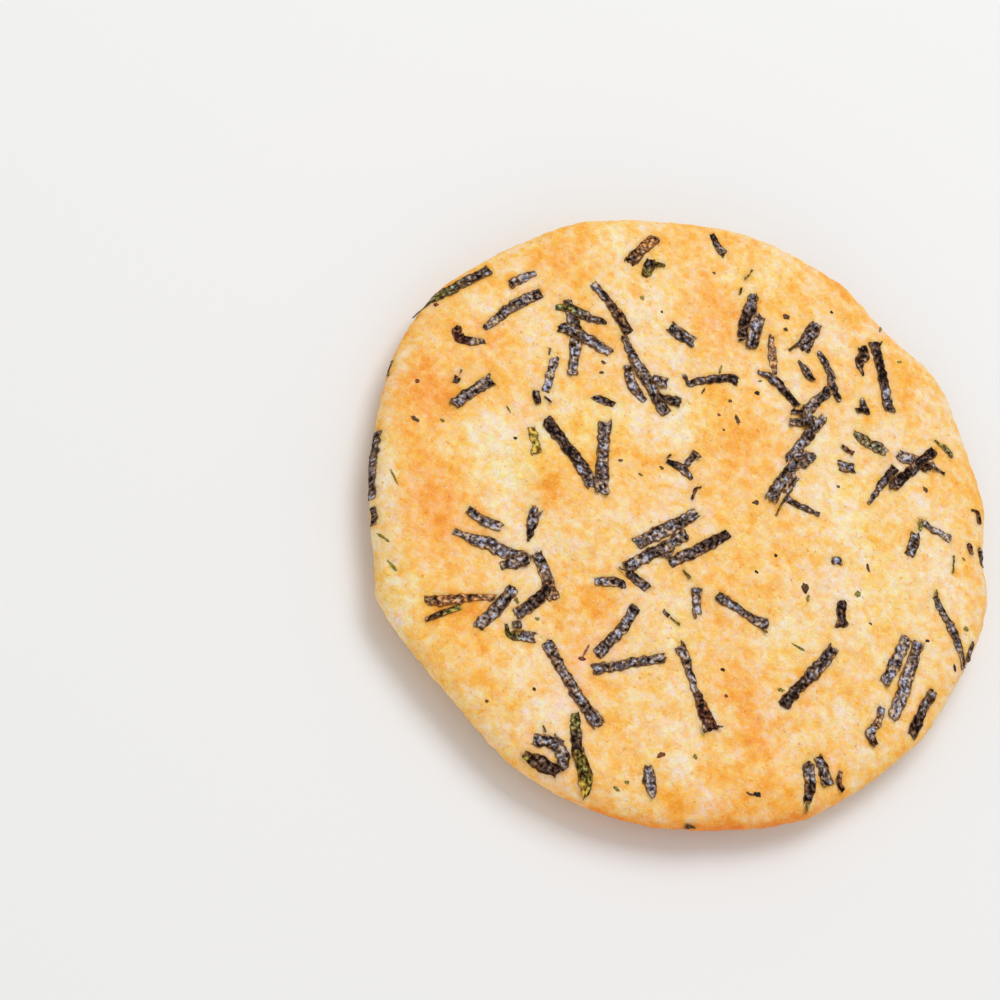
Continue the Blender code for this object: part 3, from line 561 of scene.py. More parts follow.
# Clouds of noise in the finishes: lumps to a millimetre, detail, roughness and distortion.
BROAD = (0.55, 1.0, 0.5, 0.4)
BLOTCH = (1.1, 2.0, 0.8, 0.6)
GRAIN = (2.0, 1.0, 0.7)
PALE_SPECKS_AND_GLINTS = (3.1, 1.0, 0.6)
HUE = (0.9, 2.0, 0.8)
CREAM = (1.5, 2.0, 0.8)
LIGHTNESS = (2.0, 1.0, 0.8)
SPECK = (1.6, 1.0, 0.5)
NORI_SPECKLE = (1.8, 1.5, 0.6, 0.2)
NORI_STREAK = (1.0, 1.0, 0.5)
NORI_PATCH = (0.45, 1.0, 0.5)
NORI_WARMTH = (1.0, 1.5, 0.7)
FLECK_SPECKLE = (3.0, 2.0, 0.6)
GRANULE_SCALE = 0.85
GRANULE_SMOOTHNESS = 0.45
SWIRL_SCALE = 1.2
SWIRL_REACH = 1.6
STREAK_STRETCH = (0.45, 1.3, 1.0)

# Where a number starts and ends, and then, if it is not from 0 to 1, the range it is moved to.
TOAST_RANGE = (-0.85, 1.05)
PALE_SPECKS_AND_GLINTS_SHOW = (0.66, 0.80, 0.0, 0.7)
GREEN_BY_BLUSH = (-2.0, 2.0, 1.22, 0.78)
BLUE_BY_CREAM = (0.25, 0.75, 0.54, 1.28)
LIGHT_RANGE = (0.25, 0.75, 0.94, 1.06)
SPECK_SHOWS = (0.65, 0.80)
CRUST_ROUGHNESS = (0.3, 0.7, 0.48, 0.68)
WARMTH_RANGE = (0.38, 0.66)
BROWNER_SHOWS = (0.20, 0.65)
TORN_SHOWS = (0.60, 1.0, 0.0, 0.85)
NORI_ROUGHNESS = (0.3, 0.7, 0.60, 0.38)
FLECK_LIGHT = (0.35, 0.65, 0.8, 3.0)
FLECK_ROUGHNESS = (0.3, 0.7, 0.6, 0.4)

# How shiny each finish is, and its bump's strength and depth.
CRUST_SHINE = 0.35
CRUST_BUMP = (0.9, 0.20 * MM)
NORI_SHINE = 0.05
NORI_BUMP = (0.8, 0.10 * MM)
FLECK_SHINE = 0.15
FLECK_BUMP = (0.6, 0.05 * MM)

# How much red, green and blue a mark leaves of the colour under it.
SPECKED = (0.84, 0.62, 0.40)
# The darker line low on the rim: scorching and painted shade.
SCORCHED_AND_SHADED = (0.93, 0.63, 0.18)
# Beside the seaweed: painted contact shade and oily staining.
STAINED_AND_SHADED = (0.82, 0.83, 0.74)
COOLER = (0.84, 1.02, 1.42)
WARMER = (1.24, 0.97, 0.58)
BROWNER = (0.98, 0.66, 0.36)

# The floor, and the soft lights: name, place, size and power in watts.
FLOOR_SIZE = 6.0
FLOOR_DROP = 0.05 * MM
FLOOR_GREY = 0.86
SURROUND_COLOUR = (1.0, 0.99, 0.98, 1.0)
SURROUND_STRENGTH = 0.60
SOFTBOXES = (
    ("sky_panel", (-0.15, 0.42, 0.80), 0.5, 3.95),
    ("near_panel", (0.35, -0.65, 0.28), 0.6, 0.95),
)

# The camera looks at the cracker as someone leaning over it would, with its head turned.
VIEW_ELEVATION = math.radians(62.0)
VIEW_TURN = math.radians(-42.0)
VIEW_DISTANCE = 0.5
VIEW_TARGET = Vector((0.0007, -0.0022, 0.006))
VIEW_ASIDE = 0.0475
VIEW_RAISED = 0.00651
LENS = 133.8
NEAREST_SEEN = 0.01

CHANCE = random.Random(7)


# ---------------------------------------------------------------- helpers


def deselect_all():
    """Leave nothing selected, so that an operator acts only on what is picked next."""
    bpy.ops.object.select_all(action="DESELECT")


def pick(piece):
    """Make one object the only selected one and the active one."""
    deselect_all()
    piece.select_set(True)
    bpy.context.view_layer.objects.active = piece


def apply_modifier(piece, name, kind, **settings):
    """Add one modifier to a piece and apply it."""
    modifier = piece.modifiers.new(name, kind)
    for key, value in settings.items():
        setattr(modifier, key, value)
    pick(piece)
    bpy.ops.object.modifier_apply(modifier=name)


def edit_all(piece):
    """Enter edit mode on a piece with all of it selected."""
    pick(piece)
    bpy.ops.object.mode_set(mode="EDIT")
    bpy.ops.mesh.select_all(action="SELECT")


def vectors(parts, name):
    """One three-number property of every vertex or face of a mesh, in rows."""
    values = np.empty(len(parts) * 3)
    parts.foreach_get(name, values)
    return values.reshape(-1, 3)


def store(mesh, name, values):
    """Keep a number on every vertex for a material to read."""
    attribute = mesh.attributes.new(name, "FLOAT", "POINT")
    attribute.data.foreach_set("value", np.asarray(values, np.float32))


def store_tint(mesh, colours):
    """Keep a tint on every vertex for a material to read."""
    attribute = mesh.attributes.new("tint", "FLOAT_COLOR", "POINT")
    attribute.data.foreach_set("color", np.asarray(colours, np.float32).ravel())


def smooth_step(value, low=0.0, high=1.0):
    """Rise smoothly from 0 at low to 1 at high, for one number or an array."""
    share = np.clip((value - low) / (high - low), 0.0, 1.0)
    return share * share * (3.0 - 2.0 * share)


def noise_at(places, cell, shift):
    """Smooth noise from -1 to 1 at each place, with lumps a cell across, all in millimetres."""
    offset = Vector((shift, -shift, 2.0 * shift))
    return np.array([noise.noise(Vector(place) / cell + offset) for place in places])


def layered(places, layers):
    """Sum of some layers of noise at each place."""
    return sum(strength * noise_at(places, cell, shift) for strength, cell, shift in layers)


def radius_of(places):
    """How far each place is from the middle of the outline."""
    return np.hypot(places[:, 0], places[:, 1])


def turned_from(places, direction):
    """How many degrees round from a direction each place is, from -180 to 180."""
    angle = np.degrees(np.arctan2(places[:, 1], places[:, 0]))
    return (angle - direction + 180.0) % 360.0 - 180.0


def screen(colour):
    """A screen colour from 0 to 255 as linear light, opaque."""
    linear = [
        (value / 255 / 12.92) if value <= 10.31 else ((value / 255 + 0.055) / 1.055) ** 2.4
        for value in colour
    ]
    return (*linear, 1.0)


# ---------------------------------------------------------------- crust


def blank_crust():
    """A closed, evenly meshed copy of the plain cracker."""
    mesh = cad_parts[NODE].data.copy()
    mesh.materials.clear()
    crust = bpy.data.objects.new("crust", mesh)
    bpy.context.scene.collection.objects.link(crust)
    edit_all(crust)
    bpy.ops.mesh.remove_doubles(threshold=CRUST_WELD)
    bpy.ops.object.mode_set(mode="OBJECT")
    apply_modifier(crust, "even_mesh", "REMESH", mode="VOXEL", voxel_size=CRUST_VOXEL)
    apply_modifier(crust, "soften", "SMOOTH", iterations=CRUST_SMOOTHING, factor=0.5)
    return crust


def puffs(places):
    """Low domes from 0 to 1, one to each cell, as on a puffed skin."""
    heights = []
    for place in places:
        nearest = noise.voronoi(Vector(place) / PUFF_CELL)[0]
        heights.append(max(0.0, 1.0 - nearest[0] ** 2))
    return np.array(heights)


def raise_relief(crust):
    """Puff the smooth crust up into grains and small blisters. The foot stays on the surface."""
    mesh = crust.data
    places = vectors(mesh.vertices, "co")
    normals = vectors(mesh.vertices, "normal")
    in_mm = places / MM
    relief = PUFF_HEIGHT * (puffs(in_mm) - 0.5)
    for height, cell, shift in GRAINS:
        relief += height * noise_at(in_mm, cell, shift)
    radius = radius_of(in_mm)
    relief *= 1.0 - RIM_SMOOTHER * smooth_step(radius, *RIM_SMOOTHER_BAND)
    places += normals * (relief * MM)[:, None]
    for direction, half_width, depth in DENTS:
        turn = turned_from(in_mm, direction)
        inward = depth * np.exp(-(turn / half_width) ** 2) * smooth_step(radius, *DENT_BAND)
        places[:, :2] *= (1.0 - inward / np.maximum(radius, 1.0))[:, None]
    places[:, 2] = np.maximum(places[:, 2], 0.0)
    mesh.vertices.foreach_set("co", places.ravel())
    mesh.update()
    return relief


def patch_strength(x, y, patches):
    """Sum of the patches at each place."""
    total = np.zeros(len(x))
    for centre_x, centre_y, long_half, short_half, direction, strength in patches:
        turn = math.radians(direction)
        along = (x - centre_x) * math.cos(turn) + (y - centre_y) * math.sin(turn)
        across = (y - centre_y) * math.cos(turn) - (x - centre_x) * math.sin(turn)
        distance = (along / long_half) ** 2 + (across / short_half) ** 2
        total += strength * np.exp(-PATCH_FADE * distance)
    return total


def rim_toast_and_shade(places):
    """Browning of the lower half of the rim, stronger in some directions: partly toasting, partly painted
    shade turned from the light.
    """
    strength = np.full(len(places), RIM_TOAST_AND_SHADE_LEAST)
    for direction, half_width, toast_and_shade in RIM_TOAST_AND_SHADE:
        strength += toast_and_shade * np.exp(-(turned_from(places, direction) / half_width) ** 2)
    low = 1.0 - smooth_step(places[:, 2], *RIM_TOAST_AND_SHADE_TOP)
    return strength * smooth_step(radius_of(places), *RIM_BAND) * low


def rim_scorch_and_shade(places):
    """A darker line low on the rim, broken along its length, over part of the way round: a baked line with
    painted shade.
    """
    away = np.abs(turned_from(places, SCORCH_AND_SHADE_DIRECTION))
    along = 1.0 - smooth_step(away, *SCORCH_AND_SHADE_ENDS)
    height = places[:, 2] + layered(places, SCORCH_AND_SHADE_WAVER)
    band = smooth_step(height, *SCORCH_AND_SHADE_BOTTOM) * (1.0 - smooth_step(height, *SCORCH_AND_SHADE_TOP))
    line = along * band * smooth_step(radius_of(places), *RIM_BAND)
    return np.clip(line * (SCORCH_AND_SHADE_STRENGTH + layered(places, SCORCH_AND_SHADE_BREAKS)), 0.0, 1.0)


def brown_crust(crust, relief):
    """Store how browned each point is: patches on the strewn side, the rim with its painted shade, and
    drifting tones below.
    """
    places = vectors(crust.data.vertices, "co") / MM
    wander_x, wander_y = (layered(places, (layer,)) for layer in PATCH_WANDERS)
    x = places[:, 0] + wander_x
    y = places[:, 1] + wander_y
    upper = smooth_step(places[:, 2], *STREWN_BAND)
    patches = PATCH_STRENGTH * (patch_strength(x, y, TOASTED) - patch_strength(x, y, PALE))
    under = layered(places, UNDER_TONES) + UNDER_TOAST
    toast_and_shade = upper * patches + (1.0 - upper) * under
    toast_and_shade += rim_toast_and_shade(places) + layered(places, MOTTLES) - HOLLOWS_TOASTED * relief
    store(crust.data, "toast_and_shade", toast_and_shade)
    store(crust.data, "blush", upper * patch_strength(x, y, BLUSHES))
    store(crust.data, "scorch_and_shade", rim_scorch_and_shade(places))


def stain_and_shade_crust(crust, ground):
    """Store how near the seaweed each point of the crust is: 1 under it, fading out beside it, for painted
    contact shade and oily staining.
    """
    covered = ground.covered()
    tree = KDTree(len(covered))
    for index, (x, y) in enumerate(covered):
        tree.insert(Vector((x, y, 0.0)), index)
    tree.balance()
    stain_and_shade = []
    for vertex in crust.data.vertices:
        away = tree.find(Vector((vertex.co.x, vertex.co.y, 0.0)))[2]
        is_upper = vertex.co.z > STAIN_AND_SHADE_LOWEST
        stain_and_shade.append(1.0 - smooth_step(away, 0.0, STAIN_AND_SHADE_REACH) if is_upper else 0.0)
    store(crust.data, "stain_and_shade", stain_and_shade)


def unwrap_crust(crust):
    """Lay the strewn side out as a large round and the underside as a small one beside it."""
    mesh = crust.data
    layer = mesh.uv_layers.new(name="OFBake")
    places = vectors(mesh.vertices, "co")
    radius = radius_of(places)
    shoulder = RADIUS - RIM_WIDTH
    over = np.maximum(radius - shoulder, 0.0)
    turn = np.arctan2(over, np.abs(places[:, 2] - RIM_MIDDLE) + 1e-6)
    reach = np.minimum(radius, shoulder) + np.where(over > 0, turn * RIM_WIDTH, 0.0)
    reach /= shoulder + RIM_WIDTH * math.pi / 2
    flat = reach[:, None] * places[:, :2] / np.maximum(radius, 1e-9)[:, None]
    corners = np.empty(len(mesh.loops), dtype=int)
    mesh.loops.foreach_get("vertex_index", corners)
    corner_counts = np.empty(len(mesh.polygons), dtype=int)
    mesh.polygons.foreach_get("loop_total", corner_counts)
    face_is_upper = vectors(mesh.polygons, "center")[:, 2] > RIM_MIDDLE
    is_upper = np.repeat(face_is_upper, corner_counts)[:, None]
    spot = np.where(is_upper, 0.41 + 0.40 * flat[corners], 0.84 + 0.15 * flat[corners] * (1, -1))
    layer.data.foreach_set("uv", spot.astype(np.float32).ravel())


# ---------------------------------------------------------------- seaweed


class Ground:
    """The crust and what already lies on it, for laying shreds down."""

    def __init__(self, crust):
        self.tree = BVHTree.FromObject(crust, bpy.context.evaluated_depsgraph_get())
        self.cells = int(2.2 * RADIUS / LAID_CELL)
        self.laid = np.zeros((self.cells, self.cells))

    def spot(self, x, y):
        """Where a thing dropped at a place comes to lie on the crust, and which way is up there."""
        start = Vector((x, y, HEIGHT * 2))
        hit = self.tree.ray_cast(start, Vector((0.0, 0.0, -1.0)))[0]
        height = hit.z if hit else RIM_MIDDLE
        place, normal, _, _ = self.tree.find_nearest(Vector((x, y, height)))
        return place, normal

    def cell(self, place):
        """The cell of the laid heights under a place."""
        column = int(place.x / LAID_CELL + self.cells / 2)
        row = int(place.y / LAID_CELL + self.cells / 2)
        return min(max(column, 1), self.cells - 2), min(max(row, 1), self.cells - 2)

    def height_laid(self, place):
        """How high the seaweed under a place stands on the crust."""
        column, row = self.cell(place)
        return self.laid[column - 1:column + 2, row - 1:row + 2].max()

    def covered(self):
        """The middles of the cells that seaweed covers."""
        columns, rows = np.nonzero(self.laid)
        return np.stack((columns, rows), 1) * LAID_CELL + (0.5 - self.cells / 2) * LAID_CELL

    def lay(self, place, height):
        """Note that seaweed now reaches this high here."""
        column, row = self.cell(place)
        self.laid[column, row] = max(self.laid[column, row], height)


def smooth_line(points):
    """Many points along a smooth line through a few, and how far along it each one is."""
    points = np.array(points, float)
    if len(points) == 2:
        bow = CHANCE.uniform(-BOW, BOW)
        middle = points.mean(0)
        step = points[1] - points[0]
        middle[:2] += bow * np.array((-step[1], step[0]))
        points = np.array((points[0], middle, points[1]))
    padded = np.vstack((2 * points[0] - points[1], points, 2 * points[-1] - points[-2]))
    line = []
    for before, start, end, after in zip(padded, padded[1:], padded[2:], padded[3:]):
        for share in np.linspace(0.0, 1.0, LINE_STEPS, endpoint=False):
            line.append(0.5 * (
                2 * start + (end - before) * share
                + (2 * before - 5 * start + 4 * end - after) * share ** 2
                + (3 * start - before - 3 * end + after) * share ** 3
            ))
    line = np.array(line + [points[-1]])
    steps = np.hypot(*np.diff(line[:, :2], axis=0).T)
    return line, np.concatenate(([0.0], np.cumsum(steps)))


def on_line(line, reach, along):
    """The place that is so far along a line."""
    return [np.interp(along, reach, line[:, axis]) for axis in (0, 1)]


def blurred(grid, passes):
    """A grid of values, each mixed with its neighbours."""
    for _ in range(passes):
        padded = np.pad(grid, ((1, 1), (1, 1)) + ((0, 0),) * (grid.ndim - 2), mode="edge")
        beside = padded[:-2, 1:-1] + padded[2:, 1:-1] + padded[1:-1, :-2] + padded[1:-1, 2:]
        grid = (4 * grid + beside) / 8
    return grid


def shred_outline(points, seed):
    """Flat places of a shred's grid points, with ragged edges and ends cut askew."""
    line, reach = smooth_line(points)
    length = reach[-1]
    columns = max(4, round(length * MM / SHRED_CELL) + 1)
    rows = max(3, round(SPREAD * line[:, 2].max() * MM / SHRED_CELL) + 1)
    slant_start = CHANCE.uniform(-SLANT, SLANT)
    slant_end = CHANCE.uniform(-SLANT, SLANT)
    flat = np.zeros((columns, rows, 2))
    measure = np.zeros((columns, rows, 2))
    for column in range(columns):
        share = column / (columns - 1)
        for row in range(rows):
            side = 2.0 * row / (rows - 1) - 1.0
            jag = noise.noise(Vector((side * TORN_ACROSS, share * TORN_ALONG, seed + TORN_SHIFT)))
            half = SPREAD * np.interp(share * length, reach, line[:, 2]) / 2
            along = share * length
            along += (slant_start * (1 - share) + slant_end * share) * side * half
            along += TORN_END * jag * half * (2 * share - 1) ** 4
            middle = on_line(line, reach, along)
            ahead = on_line(line, reach, along + HEADING_REACH)
            behind = on_line(line, reach, along - HEADING_REACH)
            heading = math.atan2(ahead[1] - behind[1], ahead[0] - behind[0])
            overrun = min(along, 0.0) + max(along - length, 0.0)
            drift = noise.noise(Vector((along / DRIFT_CELL, seed, DRIFT_SHIFT)))
            width = half * (1.0 + WIDTH_DRIFT * drift)
            for depth, cell in RAGGED:
                side_shift = SIDE_SHIFT * np.sign(side) + cell
                width += depth * noise.noise(Vector((along / cell, seed, side_shift)))
            to_end = length * min(share, 1.0 - share)
            width *= 1.0 - END_TAPER * math.exp(-to_end / END_TAPER_REACH)
            offset = side * max(width, NARROWEST)
            flat[column, row, 0] = middle[0] - offset * math.sin(heading) + overrun * math.cos(heading)
            flat[column, row, 1] = middle[1] + offset * math.cos(heading) + overrun * math.sin(heading)
            measure[column, row] = (along, side * half)
    return flat * MM, measure, length


def drape(flat, measure, length, ground, seed):
    """Lay a shred's grid on the crust, over what lies there, and crinkle it."""
    columns, rows = flat.shape[:2]
    spots = np.zeros((columns, rows, 3))
    ups = np.zeros((columns, rows, 3))
    laid = np.zeros((columns, rows))
    for column in range(columns):
        for row in range(rows):
            place, normal = ground.spot(*flat[column, row])
            spots[column, row] = place
            ups[column, row] = normal
            laid[column, row] = ground.height_laid(place)
    ups = blurred(ups, UPS_BLURRED)
    ups /= np.linalg.norm(ups, axis=2)[:, :, None]
    rest = blurred(spots, SPOTS_BLURRED)
    sag = ((spots - rest) * ups).sum(2)
    stiff = np.maximum(blurred(laid, LAID_BLURRED), laid)
    fold = CHANCE.uniform(*FOLD_CHANCE) * FOLD
    curls = (CHANCE.uniform(*CURL_CHANCE) * END_CURL, CHANCE.uniform(*CURL_CHANCE) * END_CURL)
    height = np.maximum(sag, -SAG_DEEPEST) + stiff + SHRED_THICKNESS - SHRED_SINK
    for column in range(columns):
        for row in range(rows):
            along, across = measure[column, row]
            crinkle = sum(
                size * noise.noise(Vector((along / cell, across / cell, seed + cell)))
                for size, cell in CRINKLES
            )
            half = max(abs(measure[column, 0, 1]), FOLD_NARROWEST)
            crinkle += fold * ((across / half) ** 2 - FOLD_LEVEL) * min(half, FOLD_WIDEST)
            start_curl = max(0.0, 1.0 - along / END_CURL_REACH)
            end_curl = max(0.0, 1.0 - (length - along) / END_CURL_REACH)
            crinkle += max(curls[0], 0.0) * start_curl ** 2 + max(curls[1], 0.0) * end_curl ** 2
            height[column, row] += crinkle * MM
    height = np.maximum(height, sag + laid + LAID_CLEARANCE)
    places = rest + ups * height[:, :, None]
    for column in range(columns):
        for row in range(rows):
            top = height[column, row] + LAID_TOP
            ground.lay(Vector(spots[column, row]), max(top, 0.0))
    return places


def tint_between(start, end, share, seed):
    """The colour and painted sheen part of the way along, with the change of kind at an uneven place."""
    share = np.asarray(share) + KIND_CHANGE_SHIFT * math.sin(seed)
    step = smooth_step(share, *KIND_CHANGE)[:, None]
    return (1.0 - step) * np.array(KINDS[start]) + step * np.array(KINDS[end])


def make_shred(index, shred, ground, corner):
    """One shred of seaweed, draped on the crust, with its thickness, tint and place on the map."""
    start, end, *points = shred
    seed = SEED_STEP * index
    flat, measure, length = shred_outline(points, seed)
    places = drape(flat, measure, length, ground, seed)
    columns, rows = flat.shape[:2]
    bpy.ops.mesh.primitive_grid_add(x_subdivisions=columns - 1, y_subdivisions=rows - 1, size=2.0)
    piece = bpy.context.object
    mesh = piece.data
    cells = []
    for vertex in mesh.vertices:
        column = round((vertex.co.x + 1.0) / 2.0 * (columns - 1))
        row = round((vertex.co.y + 1.0) / 2.0 * (rows - 1))
        cells.append((column, row))
        vertex.co = places[column, row]
    mesh.update()
    apply_modifier(piece, "thickness", "SOLIDIFY", thickness=SHRED_THICKNESS, offset=-1.0)

    share = np.array([column / (columns - 1) for column, row in cells] * 2)
    edge = np.array([abs(2.0 * row / (rows - 1) - 1.0) for column, row in cells] * 2)
    ends = np.abs(2.0 * share - 1.0)
    near_end = smooth_step(ends, 1.0 - TORN_REACH / max(length, TORN_SHORTEST), 1.0)
    store_tint(mesh, tint_between(start, end, share, seed))
    store(mesh, "edge", np.maximum(edge ** 2, near_end))
    map_shred(mesh, measure, cells, corner)
    return piece


def map_shred(mesh, measure, cells, corner):
    """Lay the shred's two sides out true to scale on the map, one above the other."""
    while mesh.uv_layers:
        mesh.uv_layers.remove(mesh.uv_layers[0])
    layer = mesh.uv_layers.new(name="OFBake")
    count = len(cells)
    width = 2.0 * abs(measure[:, 0, 1]).max()
    spots = []
    for loop in mesh.loops:
        along, across = measure[cells[loop.vertex_index % count]]
        spots.append((along, across, loop.vertex_index >= count))
    for face in mesh.polygons:
        below = [spots[corner_index][2] for corner_index in face.loop_indices]
        for corner_index in face.loop_indices:
            along, across, is_below = spots[corner_index]
            lift = 0.0
            if all(below):
                lift = width + ATLAS_GAP
            elif is_below:
                across *= 1.0 + WALL_ON_MAP / max(width, WALL_NARROWEST)
            spot = Vector((corner[0] + along, corner[1] + width / 2 + across + lift))
            layer.data[corner_index].uv = spot / ATLAS


def atlas_corners():
    """A place on the map for each shred, in rows, the widest first."""
    sizes = []
    for index, (_, _, *points) in enumerate(SHREDS):
        steps = np.hypot(*np.diff(np.array(points)[:, :2], axis=0).T)
        width = SPREAD * max(point[2] for point in points)
        sizes.append((width, steps.sum() * CURVED_LONGER + ATLAS_SPARE, index))
    corners = [None] * len(sizes)
    x = y = row_height = ATLAS_GAP
    for width, length, index in sorted(sizes, reverse=True):
        if x + length > ATLAS:
            x = ATLAS_GAP
            y += row_height
            row_height = 0.0
        corners[index] = (x, y)
        x += length + ATLAS_GAP
        row_height = max(row_height, 2 * width + 3 * ATLAS_GAP)
    return corners


def join_pieces(pieces, name):
    """Make several objects one piece."""
    deselect_all()
    for piece in pieces:
        piece.select_set(True)
    bpy.context.view_layer.objects.active = pieces[0]
    bpy.ops.object.join()
    joined = bpy.context.object
    joined.name = name
    joined.data.name = name
    return joined


def make_shreds(ground):
    """All the shreds, laid one after another."""
    corners = atlas_corners()
    pieces = [make_shred(index, shred, ground, corners[index]) for index, shred in enumerate(SHREDS)]
    return join_pieces(pieces, "nori_shreds")


def make_fleck(index, fleck, ground):
    """One small ragged fleck."""
    kind, x, y, length, width, direction = fleck
    turn = math.radians(direction)
    bpy.ops.mesh.primitive_circle_add(vertices=FLECK_SIDES, radius=1.0, fill_type="TRIFAN")
    piece = bpy.context.object
    edit_all(piece)
    bpy.ops.mesh.subdivide(number_cuts=1)
    bpy.ops.object.mode_set(mode="OBJECT")
    for vertex in piece.data.vertices:
        away = vertex.co.copy()
        notch = noise.noise(Vector((away.x * FLECK_NOTCHES, away.y * FLECK_NOTCHES, FLECK_STEP * index)))
        ragged = 1.0 + FLECK_RAGGED * 2 * notch
        along = away.x * ragged * length / 2
        across = away.y * ragged * width / 2
        place_x = (x + along * math.cos(turn) - across * math.sin(turn)) * MM
        place_y = (y + along * math.sin(turn) + across * math.cos(turn)) * MM
        place, normal = ground.spot(place_x, place_y)
        lift = FLECK_THICKNESS + ground.height_laid(place)
        lift += FLECK_CRINKLE * noise.noise(Vector((place_x, place_y, 0.0)) / FLECK_CRINKLE_CELL)
        vertex.co = place + normal * lift
    piece.data.update()
    apply_modifier(piece, "thickness", "SOLIDIFY", thickness=FLECK_DEPTH, offset=-1.0)
    store_tint(piece.data, [FLECK_TINTS[kind]] * len(piece.data.vertices))
    return piece


def make_flecks(ground):
    """All the flecks."""
    pieces = [make_fleck(index, fleck, ground) for index, fleck in enumerate(FLECKS)]
    return join_pieces(pieces, "nori_flecks")


# ---------------------------------------------------------------- materials


class Finish:
    """A material being wired up, node by node."""

    def __init__(self, name):
        self.material = bpy.data.materials.new(name)
        self.material.use_nodes = True
        self.nodes = self.material.node_tree.nodes
        self.links = self.material.node_tree.links
        self.shader = self.nodes["Principled BSDF"]

    def fill(self, socket, value):
        """Give an input a value, or wire another node's output to it."""
        if isinstance(value, bpy.types.NodeSocket):
            self.links.new(value, socket)
        else:
            socket.default_value = value

    def add(self, kind, inputs=None, **settings):
        """Add a node. An input is a value, or another node's output."""
        node = self.nodes.new("ShaderNode" + kind)
        for key, value in settings.items():
            setattr(node, key, value)
        for key, value in (inputs or {}).items():
            self.fill(node.inputs[key], value)
        return node

    def stored(self, name):
        """A number kept on the mesh."""
        return self.add("Attribute", attribute_name=name).outputs["Fac"]

    def scaled_place(self, place, scale):
        """Coordinates stretched along each axis."""
        return self.add("Mapping", {"Vector": place, "Scale": scale}).outputs[0]

    def place_in_mm(self):
        """Places on the object in millimetres."""
        return self.scaled_place(self.add("TexCoord").outputs["Object"], (1 / MM, 1 / MM, 1 / MM))

    def sum(self, first, second, operation="ADD"):
        """One number from two."""
        return self.add("Math", {0: first, 1: second}, operation=operation).outputs[0]

    def scaled(self, value, factor, middle=0.0):
        """A number less its middle, times a factor."""
        return self.sum(self.sum(value, -middle), factor, "MULTIPLY")

    def spread(self, value, low, high, to_low=0.0, to_high=1.0):
        """A number moved from one range to another, and kept within it."""
        inputs = {"Value": value, 1: low, 2: high, 3: to_low, 4: to_high}
        return self.add("MapRange", inputs, clamp=True).outputs[0]

    def ramp(self, value, stops):
        """A colour for a number from 0 to 1, by stops in screen colours."""
        node = self.add("ValToRGB", {"Fac": value})
        elements = node.color_ramp.elements
        first, *between, last = [(position, screen(colour)) for position, colour in stops]
        elements[0].position, elements[0].color = first
        elements[1].position, elements[1].color = last
        for position, colour in between:
            elements.new(position).color = colour
        return node.outputs["Color"]

    def mixed(self, share, first, second):
        """One colour part of the way to another."""
        return self.add("Mix", {0: share, 6: first, 7: second}, data_type="RGBA").outputs[2]

    def tinted(self, colour, factors):
        """A colour with its red, green and blue each times a factor."""
        return self.add("VectorMath", {0: colour, 1: factors}, operation="MULTIPLY").outputs[0]

    def marked(self, colour, share, factors):
        """A colour tinted only as far as a share."""
        return self.mixed(share, colour, self.tinted(colour, factors))

    def lit(self, colour, light):
        """A colour made lighter or darker."""
        return self.add("VectorMath", {0: colour, "Scale": light}, operation="SCALE").outputs[0]

    def noise(self, coordinates, scale, detail=2.0, roughness=0.5, distortion=0.0):
        """Cloudy noise from 0 to 1."""
        inputs = {
            "Vector": coordinates, "Scale": scale, "Detail": detail,
            "Roughness": roughness, "Distortion": distortion,
        }
        return self.add("TexNoise", inputs).outputs[0]

    def granules(self, coordinates):
        """A random number from 0 to 1 in each of many small rounded cells, which are shaken out of line."""
        swirl = self.add("TexNoise", {"Vector": coordinates, "Scale": SWIRL_SCALE, "Detail": 2.0}).outputs[1]
        swirl = self.tinted(swirl, (SWIRL_REACH, SWIRL_REACH, SWIRL_REACH))
        shaken = self.add("VectorMath", {0: coordinates, 1: swirl}, operation="ADD").outputs[0]
        inputs = {"Vector": shaken, "Scale": GRANULE_SCALE, "Smoothness": GRANULE_SMOOTHNESS}
        cells = self.add("TexVoronoi", inputs, feature="SMOOTH_F1").outputs["Color"]
        return self.add("SeparateColor", {"Color": cells}).outputs[0]

    def finished(self, colour, roughness, shine, height=None, bump=(0.0, 0.0)):
        """Wire up the shader, with a bump of some strength and depth, and return the material."""
        self.fill(self.shader.inputs["Base Color"], colour)
        self.fill(self.shader.inputs["Roughness"], roughness)
        self.shader.inputs["Specular IOR Level"].default_value = shine
        if height:
            inputs = {"Strength": bump[0], "Distance": bump[1], "Height": height}
            self.fill(self.shader.inputs["Normal"], self.add("Bump", inputs).outputs[0])
        return self.material


